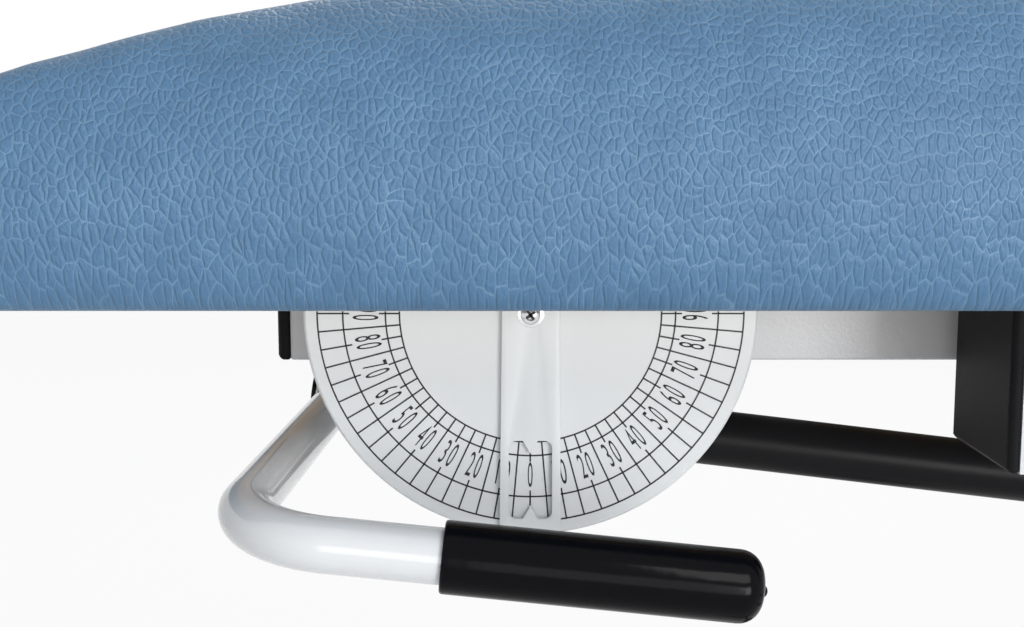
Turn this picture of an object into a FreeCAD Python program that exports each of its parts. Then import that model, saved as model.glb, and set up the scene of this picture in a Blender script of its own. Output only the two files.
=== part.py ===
"""Physiotherapy tilt table: a castored base, a tilting main frame with leg section and
footboard, and a backrest section with gas strut, release lever and pendulum goniometer.

X runs from the head end to the foot end, -Y is the operator's side, Z is up.
The origin is on the floor under the middle of the table. Lengths are millimetres.
"""
import FreeCAD, Part
import math
import os
import re

doc = FreeCAD.newDocument("tilt_table")

SIZES = {
    # upholstered top
    "pad_width": 700, "pad_thick": 125, "pad_crown": 9, "pad_side_round": 55,
    "pad_corner": 70, "nose_length": 405, "foot_round": 60, "leg_length": 1120,
    "backrest_length": 820, "board_thick": 18, "board_inset": 30, "soft_gap": 0.3,
    "board_height": 700, "pad_gap": 4, "slot_gap": 2,
    "round_across_share": 0.36, "round_down_share": 0.34,
    # main frame
    "rail_high": 70, "rail_deep": 70, "rail_wall": 3, "rail_inset": 140, "rail_drop": 6,
    "rail_start": 498, "cross_high": 40, "cross_wide": 40,
    "strut_cross_high": 30, "cap_plug": 14, "cap_flange": 5,
    "fit_gap": 0.2, "corner_small": 3, "board_post": 36, "post_end_share": 0.12,
    # backrest frame
    "beam_high": 44, "beam_deep": 30, "beam_wall": 2.5, "beam_inset": 162, "beam_start": 188,
    "beam_cap_flange": 6, "hinge_plate": 10, "hinge_rise": 62, "hinge_pin_dia": 16,
    "hinge_eye": 19, "rest_at": 520, "rest_long": 40, "buffer_thick": 4,
    # goniometer
    "dial_at": 300, "dial_dia": 192, "dial_thick": 4, "dial_inset": 100, "dial_drop": 14,
    "pointer_long": 100, "pointer_top": 9, "pointer_wide_top": 24, "pointer_wide_end": 26.5,
    "pointer_thick": 2.5, "pointer_gap": 0.6, "window_wide": 18.4, "window_top": 54.2,
    "window_end": 88.2, "window_tooth": 5.6, "tooth_base_share": 0.4, "pivot_hole": 5.2,
    "pivot_pin": 5,
    "washer_dia": 11.4, "washer_thick": 1.2, "screw_head_dia": 8.6, "screw_head_high": 2.6,
    "bracket_wide": 90, "bracket_high": 24, "bracket_wall": 3,
    # gas strut and release lever
    "strut_inset": 250, "strut_at": 230, "strut_low": 80.2, "strut_foot_at": 670,
    "strut_foot_low": 132.7, "strut_dia": 30, "strut_tube": 345, "strut_rod_dia": 12,
    "strut_eye_dia": 24, "strut_eye_wide": 14, "strut_pin_dia": 10, "lug_thick": 6,
    "lug_gap": 1.0, "lug_wide": 34, "hub_dia": 36, "hub_long": 24, "hub_gap": 0.15,
    "hub_offset": 29.5, "lever_splay": 14.5, "lever_dia": 21, "lever_inset": 15, "lever_bend": 36,
    "lever_low": 84.5, "lever_run": 189.4, "lever_droop": 19.5, "grip_dia": 27, "grip_long": 117,
    "grip_wall": 2.8, "grip_nub": 3, "grip_end_share": 0.62, "strut_end_share": 1.2,
    "strut_cap_share": 0.85, "lug_reach_share": 1.4, "pin_cap_share": 0.75,
    # tilt pivot and actuator
    "pivot_at": 1640, "pivot_drop": 36, "pivot_dia": 25, "lug_high": 34, "pivot_lug_out": 32,
    "pivot_lug_thick": 10, "post_clear": 25, "post_deep": 40, "post_wide": 60, "bush_wall": 3,
    "bush_gap": 0.05, "boss_dia": 52, "pin_head_share": 0.8, "ram_arm": 230, "ram_arm_low": 30,
    "ram_base_back": 600,
    "ram_foot_rise": 64, "ram_dia": 50, "ram_tube_long": 400, "ram_rod_dia": 30,
    "ram_eye_dia": 34, "ram_eye_wide": 24, "ram_pin_dia": 12, "motor_dia": 62,
    "motor_long": 150, "gear_high": 84,
    # base frame and castors
    "base_inset": 60, "base_rail_wide": 50, "base_rail_high": 50, "base_low": 104,
    "base_head_at": 440, "base_foot_at": 1960, "base_wall": 3,
    "castor_wheel_dia": 80, "castor_wheel_wide": 24,
    "castor_fork_wall": 4, "castor_trail": 26, "castor_side_gap": 1.5, "tyre_thick": 9,
    "castor_axle_dia": 10, "castor_plate": 8, "castor_stem_dia": 20, "castor_inset": 45,
    "castor_plate_wide": 50,
    "pedal_height_share": 0.62, "pedal_long": 46, "pedal_wide": 34, "pedal_thick": 6,
    # control box
    "box_long": 110, "box_wide": 190, "box_high": 64, "box_round": 8, "button_dia": 18,
    "button_proud": 4, "button_deep": 6, "button_at_share": 0.3, "button_gap": 0.25,
    "inlet_wide": 28, "inlet_high": 20,
    # footboard
    "slide_tube": 50, "slide_wall": 2.5, "slide_inside": 260, "slide_outside": 6,
    "foot_panel_wide": 470, "foot_panel_high": 300, "foot_panel_thick": 18, "foot_panel_rise": 20,
    "foot_mat_thick": 5, "foot_bar": 40, "knob_dia": 44, "knob_thick": 20, "knob_stem": 10,
    "knob_back": 60, "strap_high_share": 0.8, "knob_bite_share": 1.6,
}

PLACES = {
    "foot_end": "backrest_length + hinge_rise + pad_gap + leg_length",
    "overall": "foot_end + slide_outside + foot_bar",
    "head_x": "-overall/2",
    "strut_side": "pad_width/2 - strut_inset",
    "rail_inner": "pad_width/2 - rail_inset",
    "beam_outer": "pad_width/2 - beam_inset",
    "dial_face": "pad_width/2 - dial_inset",
    "lever_reach": "pad_width/2 - lever_inset",
    "base_rail_in": "pad_width/2 - base_inset",
    "pivot_lug_in": "rail_inner + pivot_lug_out",
    "post_in": "rail_inner - post_clear",
    "dial_x": "head_x + dial_at",
    "dial_z": "board_height - dial_drop",
    "hinge_x": "head_x + backrest_length",
    "hinge_z": "board_height + hinge_rise",
    "leg_x": "hinge_x + hinge_rise + pad_gap",
    "rail_x": "head_x + rail_start",
    "rail_long": "foot_end - rail_start",
    "rail_z": "board_height - rail_drop - rail_high",
    "cross_z": "board_height - rail_drop - rail_high",
    "beam_x": "head_x + beam_start",
    "beam_z": "board_height - beam_high",
    "beam_long": "backrest_length - beam_start - hinge_eye",
    "pivot_x": "head_x + pivot_at",
    "pivot_z": "rail_z - pivot_drop",
    "ram_top_x": "pivot_x - ram_arm",
    "ram_top_z": "pivot_z - ram_arm_low",
    "ram_foot_x": "pivot_x - ram_base_back",
    "ram_foot_z": "base_low + base_rail_high + ram_foot_rise",
    "strut_x": "head_x + strut_at",
    "strut_z": "board_height - strut_low",
    "strut_foot_x": "head_x + strut_foot_at",
    "strut_foot_z": "board_height - strut_foot_low",
    "base_x": "head_x + base_head_at",
    "base_long": "base_foot_at - base_head_at",
    "base_top": "base_low + base_rail_high",
    "foot_x": "head_x + foot_end",
    "foot_bar_x": "foot_x + slide_outside",
}

dims = doc.addObject("Spreadsheet::Sheet", "dims")
for row, (alias, size) in enumerate(SIZES.items(), start=1):
    dims.set("A%d" % row, alias)
    dims.set("B%d" % row, str(size))
    dims.setAlias("B%d" % row, alias)
doc.recompute()


def ex(text):
    """Expression text with every size and place name put on its own sheet."""
    def sheet_name(match):
        word = match.group(0)
        if word in SIZES:
            return "dims." + word
        if word in PLACES:
            return "places." + word
        return word
    return re.sub(r"[a-z][a-z_]*", sheet_name, text)


places = doc.addObject("Spreadsheet::Sheet", "places")
for row, alias in enumerate(PLACES, start=1):
    places.set("A%d" % row, alias)
    places.setAlias("B%d" % row, alias)
for row, formula in enumerate(PLACES.values(), start=1):
    places.set("B%d" % row, "=" + ex(formula))
doc.recompute()


class Values:
    """Numbers of both sheets, read by name where a shape is made with Part's functions."""
    def __getattr__(self, name):
        sheet = dims if name in SIZES else places
        return float(getattr(sheet, name))


V = Values()
Vec = FreeCAD.Vector
AXIS_X = FreeCAD.Rotation(Vec(0, 1, 0), 90)
AXIS_Y = FreeCAD.Rotation(Vec(1, 0, 0), -90)
AXIS_Z = FreeCAD.Rotation()
NODES = []


def bind(item, **texts):
    for prop, text in texts.items():
        item.setExpression(prop, ex(str(text)))
    return item


def place(item, at, rotation=AXIS_Z):
    item.Placement = FreeCAD.Placement(Vec(0, 0, 0), rotation)
    for letter, text in zip("xyz", at):
        item.setExpression(".Placement.Base." + letter, ex(str(text)))
    return item


def box(name, at, long, deep, high):
    item = doc.addObject("Part::Box", name)
    bind(item, Length=long, Width=deep, Height=high)
    return place(item, at)


def rod(name, at, radius, high, rotation=AXIS_Z):
    item = doc.addObject("Part::Cylinder", name)
    bind(item, Radius=radius, Height=high)
    return place(item, at, rotation)


def cut(name, base, tool):
    item = doc.addObject("Part::Cut", name)
    item.Base = base
    item.Tool = tool
    return item


def fuse(name, *items):
    item = doc.addObject("Part::MultiFuse", name)
    item.Shapes = list(items)
    return item


def group(name, *items):
    item = doc.addObject("Part::Compound", name)
    item.Links = list(items)
    return item


def node(item, label):
    """Name a finished sub-part; its label is the name of its file."""
    item.Label = label
    NODES.append(item)
    return item


def x_tube(name, at, long, deep, high, wall):
    """Rectangular tube along X, open at both ends; at is its lower, inner-left corner."""
    outer = box(name + "_outer", at, long, deep, high)
    x, y, z = at
    inner = box(name + "_bore", ("%s - %s" % (x, wall), "%s + %s" % (y, wall),
                                 "%s + %s" % (z, wall)),
                "%s + 2*%s" % (long, wall), "%s - 2*%s" % (deep, wall),
                "%s - 2*%s" % (high, wall))
    return cut(name, outer, inner)


def y_tube(name, at, wide, long, high, wall):
    """Rectangular tube along Y, open at both ends."""
    outer = box(name + "_outer", at, wide, long, high)
    x, y, z = at
    inner = box(name + "_bore", ("%s + %s" % (x, wall), "%s - %s" % (y, wall),
                                 "%s + %s" % (z, wall)),
                "%s - 2*%s" % (wide, wall), "%s + 2*%s" % (long, wall),
                "%s - 2*%s" % (high, wall))
    return cut(name, outer, inner)


def x_cap(name, at, deep, high, wall, flange, side):
    """Push-in end cap of a tube along X: rounded flange outside, plug inside the bore.

    at is the tube's lower, inner corner at the end that the cap closes.
    """
    x, y, z = at
    plate = box(name + "_plate", (x if side > 0 else "%s - %s" % (x, flange), y, z),
                flange, deep, high)
    doc.recompute()
    rounded = doc.addObject("Part::Fillet", name + "_flange")
    rounded.Base = plate
    face_x = plate.Shape.BoundBox.XMax if side > 0 else plate.Shape.BoundBox.XMin
    edges = []
    for index, edge in enumerate(plate.Shape.Edges, start=1):
        bounds = edge.BoundBox
        if abs(bounds.XMin - face_x) < V.fit_gap and bounds.XLength < V.fit_gap:
            edges.append((index, V.corner_small, V.corner_small))
    rounded.Edges = edges
    inset = "%s + fit_gap" % wall
    plug = box(name + "_plug",
               ("%s - cap_plug" % x if side > 0 else x, "%s + %s" % (y, inset),
                "%s + %s" % (z, inset)),
               "cap_plug", "%s - 2*(%s)" % (deep, inset), "%s - 2*(%s)" % (high, inset))
    return fuse(name, rounded, plug)


def feature(label, shape):
    item = doc.addObject("Part::Feature", label)
    item.Shape = shape
    return node(item, label)


def wire(points):
    return Part.makePolygon(points)


def turned(shape, at, direction):
    """A shape drawn along +Z from the origin, laid along a direction from a point."""
    shape.Placement = FreeCAD.Placement(at, FreeCAD.Rotation(Vec(0, 0, 1), direction))
    return shape


SIDES = (("front", -1), ("back", 1))


def low_y(inner, deep, side):
    """Lower Y corner of a piece that lies between inner and inner + deep from the middle."""
    return inner if side > 0 else "-(%s) - (%s)" % (inner, deep)


# Cushions: a side outline and a cross-section are drawn as arcs and lines, and a cushion
# is what both leave of a block with rounded plan corners.
def cross_section(at_x, long):
    half = V.pad_width / 2
    top = V.pad_thick - V.pad_crown
    round_z = top - V.pad_side_round
    bulge = V.pad_side_round / 6
    low_edge = V.pad_side_round / 4
    p = [Vec(at_x, -half + low_edge, 0), Vec(at_x, half - low_edge, 0),
         Vec(at_x, half - bulge / 3, low_edge), Vec(at_x, half, round_z / 2 + low_edge / 2),
         Vec(at_x, half - bulge, round_z + bulge), Vec(at_x, half - V.pad_side_round, top)]
    corner_mid = Vec(at_x, half - V.pad_side_round * V.round_across_share,
                     top - V.pad_side_round * V.round_down_share)
    mirror = [Vec(at_x, -q.y, q.z) for q in p]
    edges = [Part.LineSegment(p[0], p[1]).toShape(),
             Part.LineSegment(p[1], p[2]).toShape(),
             Part.Arc(p[2], p[3], p[4]).toShape(),
             Part.Arc(p[4], corner_mid, p[5]).toShape(),
             Part.Arc(p[5], Vec(at_x, 0, V.pad_thick), mirror[5]).toShape(),
             Part.Arc(mirror[5], Vec(at_x, -corner_mid.y, corner_mid.z), mirror[4]).toShape(),
             Part.Arc(mirror[4], mirror[3], mirror[2]).toShape(),
             Part.LineSegment(mirror[2], p[0]).toShape()]
    return Part.Face(Part.Wire(edges)).extrude(Vec(long, 0, 0))


def quarter_ellipse(center, long_x, high_z):
    """Quarter of an ellipse from the low end at center.x + long_x up to the crest."""
    sign = 1 if long_x > 0 else -1
    points = []
    steps = 3
    for step in range(2 * steps + 1):
        angle = math.pi / 2 * step / (2 * steps)
        points.append(center + Vec(long_x * math.cos(angle), 0, high_z * math.sin(angle)))
    if sign < 0:
        points.reverse()
    return [Part.Arc(points[i], points[i + 1], points[i + 2]).toShape()
            for i in range(0, 2 * steps, 2)]


def plan_block(long, start):
    """Block in plan with rounded corners at the free end of a cushion."""
    half = V.pad_width / 2
    block = Part.makeBox(long, 2 * half, V.pad_thick * 2, Vec(0, -half, -V.pad_thick / 2))
    free_x = 0 if start else long
    edges = [e for e in block.Edges
             if e.BoundBox.ZLength > V.pad_thick and abs(e.BoundBox.XMin - free_x) < V.soft_gap]
    return block.makeFillet(V.pad_corner, edges)


def board_pocket(long):
    gap = V.soft_gap
    return Part.makeBox(long + 2 * gap, V.pad_width - 2 * V.board_inset + 2 * gap,
                        V.board_thick + 2 * gap, Vec(-gap, -V.pad_width / 2 + V.board_inset - gap,
                                                    -gap))


def backrest_pad():
    """Long elliptical nose at the head end, half-round end on the hinge axis."""
    rise = V.hinge_rise
    length = V.backrest_length
    nose = V.nose_length
    outline = quarter_ellipse(Vec(nose, 0, 0), -nose, V.pad_thick)
    end_top = Vec(length, 0, 2 * rise)
    outline += [Part.LineSegment(Vec(nose, 0, V.pad_thick), end_top).toShape(),
                Part.Arc(end_top, Vec(length + rise, 0, rise), Vec(length, 0, 0)).toShape(),
                Part.LineSegment(Vec(length, 0, 0), Vec(0, 0, 0)).toShape()]
    body = Part.Face(Part.Wire(Part.__sortEdges__(outline)))
    body = body.extrude(Vec(0, V.pad_width, 0))
    body.translate(Vec(0, -V.pad_width / 2, 0))
    body = body.common(cross_section(0, length + rise)).common(plan_block(length + 2 * rise, True))
    pocket = board_pocket(board_length_back())
    pocket.translate(Vec(V.board_inset * 3, 0, 0))
    body = body.cut(pocket)
    for name, side in SIDES:
        body = body.cut(hinge_slot(side, length - V.hinge_eye - 2 * V.soft_gap,
                                   length + rise + V.pad_gap))
    body.translate(Vec(V.head_x, 0, V.board_height))
    return body


def board_length_back():
    return V.backrest_length - V.board_inset * 3 - V.hinge_eye - V.rail_wall * 2


def hinge_slot(side, x_low, x_high):
    """Slot in a cushion's underside for the pair of hinge plates on one side."""
    inner = V.beam_outer - V.slot_gap
    outer = V.rail_inner + V.slot_gap
    y_low = inner if side > 0 else -outer
    top = V.hinge_rise + V.hinge_eye + V.slot_gap
    return Part.makeBox(x_high - x_low, outer - inner, top + V.pad_thick,
                        Vec(x_low, y_low, -V.pad_thick))


def leg_pad():
    rise = V.hinge_rise
    length = V.leg_length
    end = V.foot_round
    crest = V.pad_thick + V.slot_gap
    outline = [Part.Arc(Vec(rise, 0, 0), Vec(0, 0, rise), Vec(rise, 0, 2 * rise)).toShape(),
               Part.LineSegment(Vec(rise, 0, 2 * rise), Vec(length / 2, 0, crest)).toShape(),
               Part.LineSegment(Vec(length / 2, 0, crest), Vec(length - end, 0, crest)).toShape()]
    outline += quarter_ellipse(Vec(length - end, 0, 0), end, crest)
    outline += [Part.LineSegment(Vec(length, 0, 0), Vec(rise, 0, 0)).toShape()]
    body = Part.Face(Part.Wire(Part.__sortEdges__(outline)))
    body = body.extrude(Vec(0, V.pad_width, 0))
    body.translate(Vec(0, -V.pad_width / 2, 0))
    body = body.common(cross_section(0, length)).common(plan_block(length, False))
    pocket = board_pocket(board_length_leg())
    pocket.translate(Vec(rise + V.board_inset, 0, 0))
    body = body.cut(pocket)
    body.translate(Vec(V.leg_x, 0, V.board_height))
    return body


def board_length_leg():
    return V.leg_length - V.hinge_rise - 3 * V.board_inset


feature("backrest_pad", backrest_pad())
feature("leg_pad", leg_pad())

wide = "pad_width - 2*board_inset"
node(box("backrest_board", ("head_x + 3*board_inset", "-(%s)/2" % wide, "board_height"),
         "backrest_length - 3*board_inset - hinge_eye - 2*rail_wall", wide, "board_thick"),
     "backrest_board")
node(box("leg_board", ("leg_x + hinge_rise + board_inset", "-(%s)/2" % wide, "board_height"),
         "leg_length - hinge_rise - 3*board_inset", wide, "board_thick"), "leg_board")

# Main frame: two square rails, cross tubes, end caps, board carriers, hinge plates.
for name, side in SIDES:
    y = low_y("rail_inner", "rail_deep", side)
    tube = x_tube("rail_tube_" + name, ("rail_x", y, "rail_z"), "rail_long", "rail_deep",
                  "rail_high", "rail_wall")
    clamp_hole = rod("rail_clamp_hole_" + name,
                     ("foot_x - knob_back",
                      "%s(rail_inner + rail_deep/2)" % ("" if side > 0 else "-"),
                      "rail_z - fit_gap"), "knob_stem/2 + fit_gap", "rail_wall + 2*fit_gap")
    node(cut("main_rail_bored_" + name, tube, clamp_hole), "main_rail_" + name)
caps = []
for name, side in SIDES:
    y = low_y("rail_inner", "rail_deep", side)
    caps.append(x_cap("rail_cap_" + name, ("rail_x", y, "rail_z"), "rail_deep", "rail_high",
                      "rail_wall", "cap_flange", -1))
node(group("rail_end_caps", *caps), "rail_end_caps")

CROSS_AT = ("strut_foot_at + cross_wide + 8*fit_gap", "pivot_at - ram_arm - cross_wide/2",
            "foot_end - 2*cross_wide - slide_inside")
bars = []
for index, at in enumerate(CROSS_AT):
    high = "strut_cross_high" if index == 0 else "cross_high"
    bars.append(y_tube("main_cross_%d" % index, ("head_x + " + at, "-rail_inner", "cross_z"),
                       "cross_wide", "2*rail_inner", high, "rail_wall"))
node(group("main_cross_tubes", *bars), "main_cross_tubes")

carriers = []
for index, share in enumerate((V.post_end_share, 1/2, 1 - V.post_end_share)):
    for name, side in SIDES:
        y = low_y("rail_inner + rail_wall", "board_post", side)
        carriers.append(box("carrier_%s_%d" % (name, index),
                            ("leg_x + leg_length*%s" % share, y, "rail_z + rail_high"),
                            "board_post", "board_post", "rail_drop"))
node(group("board_carriers", *carriers), "board_carriers")

plates = []
for name, side in SIDES:
    y = low_y("rail_inner - hinge_plate", "hinge_plate", side)
    web = box("main_hinge_web_" + name, ("hinge_x - hinge_eye", y, "rail_z + rail_wall"),
              "2*hinge_eye", "hinge_plate", "hinge_z - rail_z - rail_wall")
    eye = rod("main_hinge_eye_" + name, ("hinge_x", y, "hinge_z"), "hinge_eye", "hinge_plate",
              AXIS_Y)
    bore = rod("main_hinge_bore_" + name, ("hinge_x", "%s - fit_gap" % y, "hinge_z"),
               "hinge_pin_dia/2 + bush_gap", "hinge_plate + 2*fit_gap", AXIS_Y)
    plates.append(cut("main_hinge_" + name, fuse("main_hinge_body_" + name, web, eye), bore))
node(group("main_hinge_plates", *plates), "main_hinge_plates")

rests = []
buffers = []
for name, side in SIDES:
    y = low_y("beam_outer - beam_deep", "rail_inner - beam_outer + beam_deep", side)
    top = "beam_z - buffer_thick - fit_gap"
    rests.append(box("rest_" + name, ("head_x + rest_at", y, top + " - lug_thick"), "rest_long",
                     "rail_inner - beam_outer + beam_deep", "lug_thick"))
    buffers.append(rod("buffer_" + name, ("head_x + rest_at + rest_long/2",
                                          "%s(beam_outer - beam_deep/2)" % ("" if side > 0
                                                                            else "-"),
                                          top), "beam_deep/3", "buffer_thick"))
node(group("backrest_rests", *rests), "backrest_rests")
node(group("rest_buffers", *buffers), "rest_buffers")

# Tilt pivot: lugs under the rails, shaft stubs, bushes and bosses on the two posts.
lugs = []
for name, side in SIDES:
    y = low_y("pivot_lug_in", "pivot_lug_thick", side)
    web = box("pivot_web_" + name, ("pivot_x - lug_high", y, "pivot_z"), "2*lug_high",
              "pivot_lug_thick", "rail_z - pivot_z")
    eye = rod("pivot_eye_" + name, ("pivot_x", y, "pivot_z"), "lug_high", "pivot_lug_thick",
              AXIS_Y)
    bore = rod("pivot_lug_bore_" + name, ("pivot_x", "%s - fit_gap" % y, "pivot_z"),
               "pivot_dia/2", "pivot_lug_thick + 2*fit_gap", AXIS_Y)
    lugs.append(cut("pivot_lug_" + name, fuse("pivot_lug_body_" + name, web, eye), bore))
node(group("pivot_lugs", *lugs), "pivot_lugs")
stubs = []
for name, side in SIDES:
    y = low_y("post_in + fit_gap", "pivot_lug_in + pivot_lug_thick - post_in - fit_gap", side)
    shaft = rod("pivot_stub_" + name, ("pivot_x", y, "pivot_z"), "pivot_dia/2",
                "pivot_lug_in + pivot_lug_thick - post_in - fit_gap", AXIS_Y)
    head_y = low_y("pivot_lug_in + pivot_lug_thick", "lug_thick", side)
    head = rod("pivot_head_" + name, ("pivot_x", head_y, "pivot_z"), "pivot_dia*pin_head_share",
               "lug_thick", AXIS_Y)
    collar_y = low_y("post_in + post_deep + 4*fit_gap",
                     "pivot_lug_in - post_in - post_deep - 4*fit_gap", side)
    collar = rod("pivot_collar_" + name, ("pivot_x", collar_y, "pivot_z"),
                 "pivot_dia*pin_head_share",
                 "pivot_lug_in - post_in - post_deep - 4*fit_gap", AXIS_Y)
    stubs.append(fuse("pivot_pin_" + name, shaft, head, collar))
node(group("pivot_pins", *stubs), "pivot_pins")

for name, side in SIDES:
    y = low_y("post_in", "post_deep", side)
    column = box("post_column_" + name, ("pivot_x - post_wide*2/3", y, "base_top"),
                 "post_wide", "post_deep", "pivot_z - base_top")
    inner = box("post_bore_" + name, ("pivot_x - post_wide*2/3 + base_wall",
                                      "%s + base_wall" % y, "base_top - base_wall"),
                "post_wide - 2*base_wall", "post_deep - 2*base_wall",
                "pivot_z - base_top - boss_dia/2")
    boss = rod("post_boss_" + name, ("pivot_x", y, "pivot_z"), "boss_dia/2", "post_deep", AXIS_Y)
    bore = rod("post_pivot_bore_" + name, ("pivot_x", "%s - fit_gap" % y, "pivot_z"),
               "pivot_dia/2 + bush_wall + bush_gap", "post_deep + 2*fit_gap", AXIS_Y)
    hollow = cut("post_hollow_" + name, column, inner)
    node(cut("post_" + name, fuse("post_body_" + name, hollow, boss), bore), "pivot_post_" + name)
bushes = []
for name, side in SIDES:
    y = low_y("post_in", "post_deep", side)
    sleeve = rod("bush_sleeve_" + name, ("pivot_x", y, "pivot_z"), "pivot_dia/2 + bush_wall",
                 "post_deep", AXIS_Y)
    bore = rod("bush_bore_" + name, ("pivot_x", "%s - fit_gap" % y, "pivot_z"),
               "pivot_dia/2 + bush_gap", "post_deep + 2*fit_gap", AXIS_Y)
    bushes.append(cut("bush_" + name, sleeve, bore))
node(group("pivot_bushes", *bushes), "pivot_bushes")

# Base frame: two rails, cross tubes that carry the castors, a tie tube for the actuator.
for name, side in SIDES:
    y = low_y("base_rail_in", "base_rail_wide", side)
    node(x_tube("base_rail_" + name, ("base_x", y, "base_low"), "base_long", "base_rail_wide",
                "base_rail_high", "base_wall"), "base_rail_" + name)
caps = []
for end, at, way in (("head", "base_x", -1), ("foot", "base_x + base_long", 1)):
    for name, side in SIDES:
        y = low_y("base_rail_in", "base_rail_wide", side)
        caps.append(x_cap("base_cap_%s_%s" % (end, name), (at, y, "base_low"), "base_rail_wide",
                          "base_rail_high", "base_wall", "cap_flange", way))
node(group("base_end_caps", *caps), "base_end_caps")
ties = []
for index, (at, wide) in enumerate((("base_x + 2*castor_inset", "base_rail_wide"),
                                    ("ram_foot_x - cross_wide/2", "cross_wide"),
                                    ("pivot_x - post_wide*2/3", "post_wide"))):
    ties.append(y_tube("base_tie_%d" % index, (at, "-base_rail_in", "base_low"), wide,
                       "2*base_rail_in", "base_rail_high", "base_wall"))
node(group("base_cross_tubes", *ties), "base_cross_tubes")


# Castors: stem plate, swivelling fork with axle, wheel core, tyre and brake pedal.
def castor(label, x, y):
    wheel_r = V.castor_wheel_dia / 2
    axle_x = x + V.castor_trail
    half = V.castor_wheel_wide / 2 + V.castor_side_gap
    wall = V.castor_fork_wall
    crown_z = V.castor_wheel_dia + V.castor_side_gap * 2
    plate_low = V.base_low - V.castor_plate
    crown = Part.makeCylinder(half + wall, plate_low - V.castor_side_gap - crown_z,
                              Vec(x, y, crown_z))
    bridge = Part.makeBox(V.castor_trail + wheel_r / 2, 2 * (half + wall), wall,
                          Vec(x, y - half - wall, crown_z))
    body = crown.fuse(bridge)
    for way in (-1, 1):
        y_low = y + half if way > 0 else y - half - wall
        cheek = wire([Vec(x - half, y_low, crown_z + wall), Vec(x - half, y_low, crown_z - wall),
                      Vec(axle_x - wall * 3, y_low, wheel_r - wall * 2),
                      Vec(axle_x + wall * 3, y_low, wheel_r - wall * 2),
                      Vec(axle_x + wheel_r / 2, y_low, crown_z - wall),
                      Vec(axle_x + wheel_r / 2, y_low, crown_z + wall),
                      Vec(x - half, y_low, crown_z + wall)])
        body = body.fuse(Part.Face(cheek).extrude(Vec(0, wall, 0)))
    stem = Part.makeCylinder(V.castor_stem_dia / 2, V.castor_plate * 2,
                             Vec(x, y, crown_z + wall))
    body = body.fuse(stem)
    axle = Part.makeCylinder(V.castor_axle_dia / 2, 2 * (half + wall) + wall,
                             Vec(axle_x, y - half - wall * 1.5, wheel_r), Vec(0, 1, 0))
    feature("castor_fork_" + label, body.fuse(axle).removeSplitter())
    core_r = wheel_r - V.tyre_thick
    core = Part.makeCylinder(core_r, V.castor_wheel_wide,
                             Vec(axle_x, y - V.castor_wheel_wide / 2, wheel_r), Vec(0, 1, 0))
    recess_r = core_r - V.tyre_thick
    for way in (-1, 1):
        start = y + way * V.castor_wheel_wide / 2
        dish = Part.makeCylinder(recess_r, V.castor_wheel_wide / 4, Vec(axle_x, start, wheel_r),
                                 Vec(0, -way, 0))
        hub = Part.makeCylinder(V.castor_axle_dia, V.castor_wheel_wide / 4,
                                Vec(axle_x, start, wheel_r), Vec(0, -way, 0))
        core = core.cut(dish.cut(hub))
    core = core.cut(Part.makeCylinder(V.castor_axle_dia / 2 + V.bush_gap,
                                      V.castor_wheel_wide * 2,
                                      Vec(axle_x, y - V.castor_wheel_wide, wheel_r),
                                      Vec(0, 1, 0)))
    feature("castor_wheel_" + label, core)
    tyre = Part.makeCylinder(wheel_r, V.castor_wheel_wide,
                             Vec(axle_x, y - V.castor_wheel_wide / 2, wheel_r), Vec(0, 1, 0))
    rims = [e for e in tyre.Edges if abs(e.BoundBox.ZLength - V.castor_wheel_dia) < V.fit_gap
            and e.BoundBox.YLength < V.fit_gap]
    tyre = tyre.makeFillet(V.tyre_thick / 2, rims)
    tyre = tyre.cut(Part.makeCylinder(core_r, V.castor_wheel_wide * 2,
                                      Vec(axle_x, y - V.castor_wheel_wide, wheel_r),
                                      Vec(0, 1, 0)))
    feature("castor_tyre_" + label, tyre)
    pedal_z = V.castor_wheel_dia * V.pedal_height_share
    pedal_x = axle_x + wheel_r + V.castor_side_gap * 2
    pad = Part.makeBox(V.pedal_long, V.pedal_wide, V.pedal_thick,
                       Vec(pedal_x, y - V.pedal_wide / 2, pedal_z))
    tips = [e for e in pad.Edges if abs(e.BoundBox.XMin - pedal_x - V.pedal_long) < V.fit_gap
            and e.BoundBox.ZLength > V.fit_gap]
    pad = pad.makeFillet(V.pedal_wide / 4, tips)
    outer = half + wall + V.castor_side_gap / 3
    for way in (-1, 1):
        y_low = y + outer if way > 0 else y - outer - wall
        arm = wire([Vec(pedal_x + wall * 2, y_low, pedal_z),
                    Vec(pedal_x + wall * 2, y_low, pedal_z + V.pedal_thick),
                    Vec(pedal_x - wall, y_low, pedal_z + V.pedal_thick),
                    Vec(axle_x + wheel_r / 4, y_low, crown_z - wall),
                    Vec(axle_x + wheel_r / 4 - wall * 3, y_low, crown_z - wall * 3),
                    Vec(pedal_x - wall, y_low, pedal_z),
                    Vec(pedal_x + wall * 2, y_low, pedal_z)])
        pad = pad.fuse(Part.Face(arm).extrude(Vec(0, wall, 0)))
        pad = pad.fuse(Part.makeCylinder(V.pedal_thick, wall,
                                         Vec(axle_x + V.pedal_thick, y_low,
                                             crown_z - V.pedal_thick), Vec(0, 1, 0)))
    web = Part.makeBox(wall * 3, 2 * (outer + wall), V.pedal_thick,
                       Vec(pedal_x - wall, y - outer - wall, pedal_z))
    feature("castor_pedal_" + label, pad.fuse(web).removeSplitter())
    wide = V.castor_plate_wide
    plate = Part.makeBox(wide, wide, V.castor_plate, Vec(x - wide / 2, y - wide / 2, plate_low))
    return plate.cut(Part.makeCylinder(V.castor_stem_dia / 2 + V.bush_gap, V.castor_plate * 2,
                                       Vec(x, y, plate_low - V.castor_plate / 2)))


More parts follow.
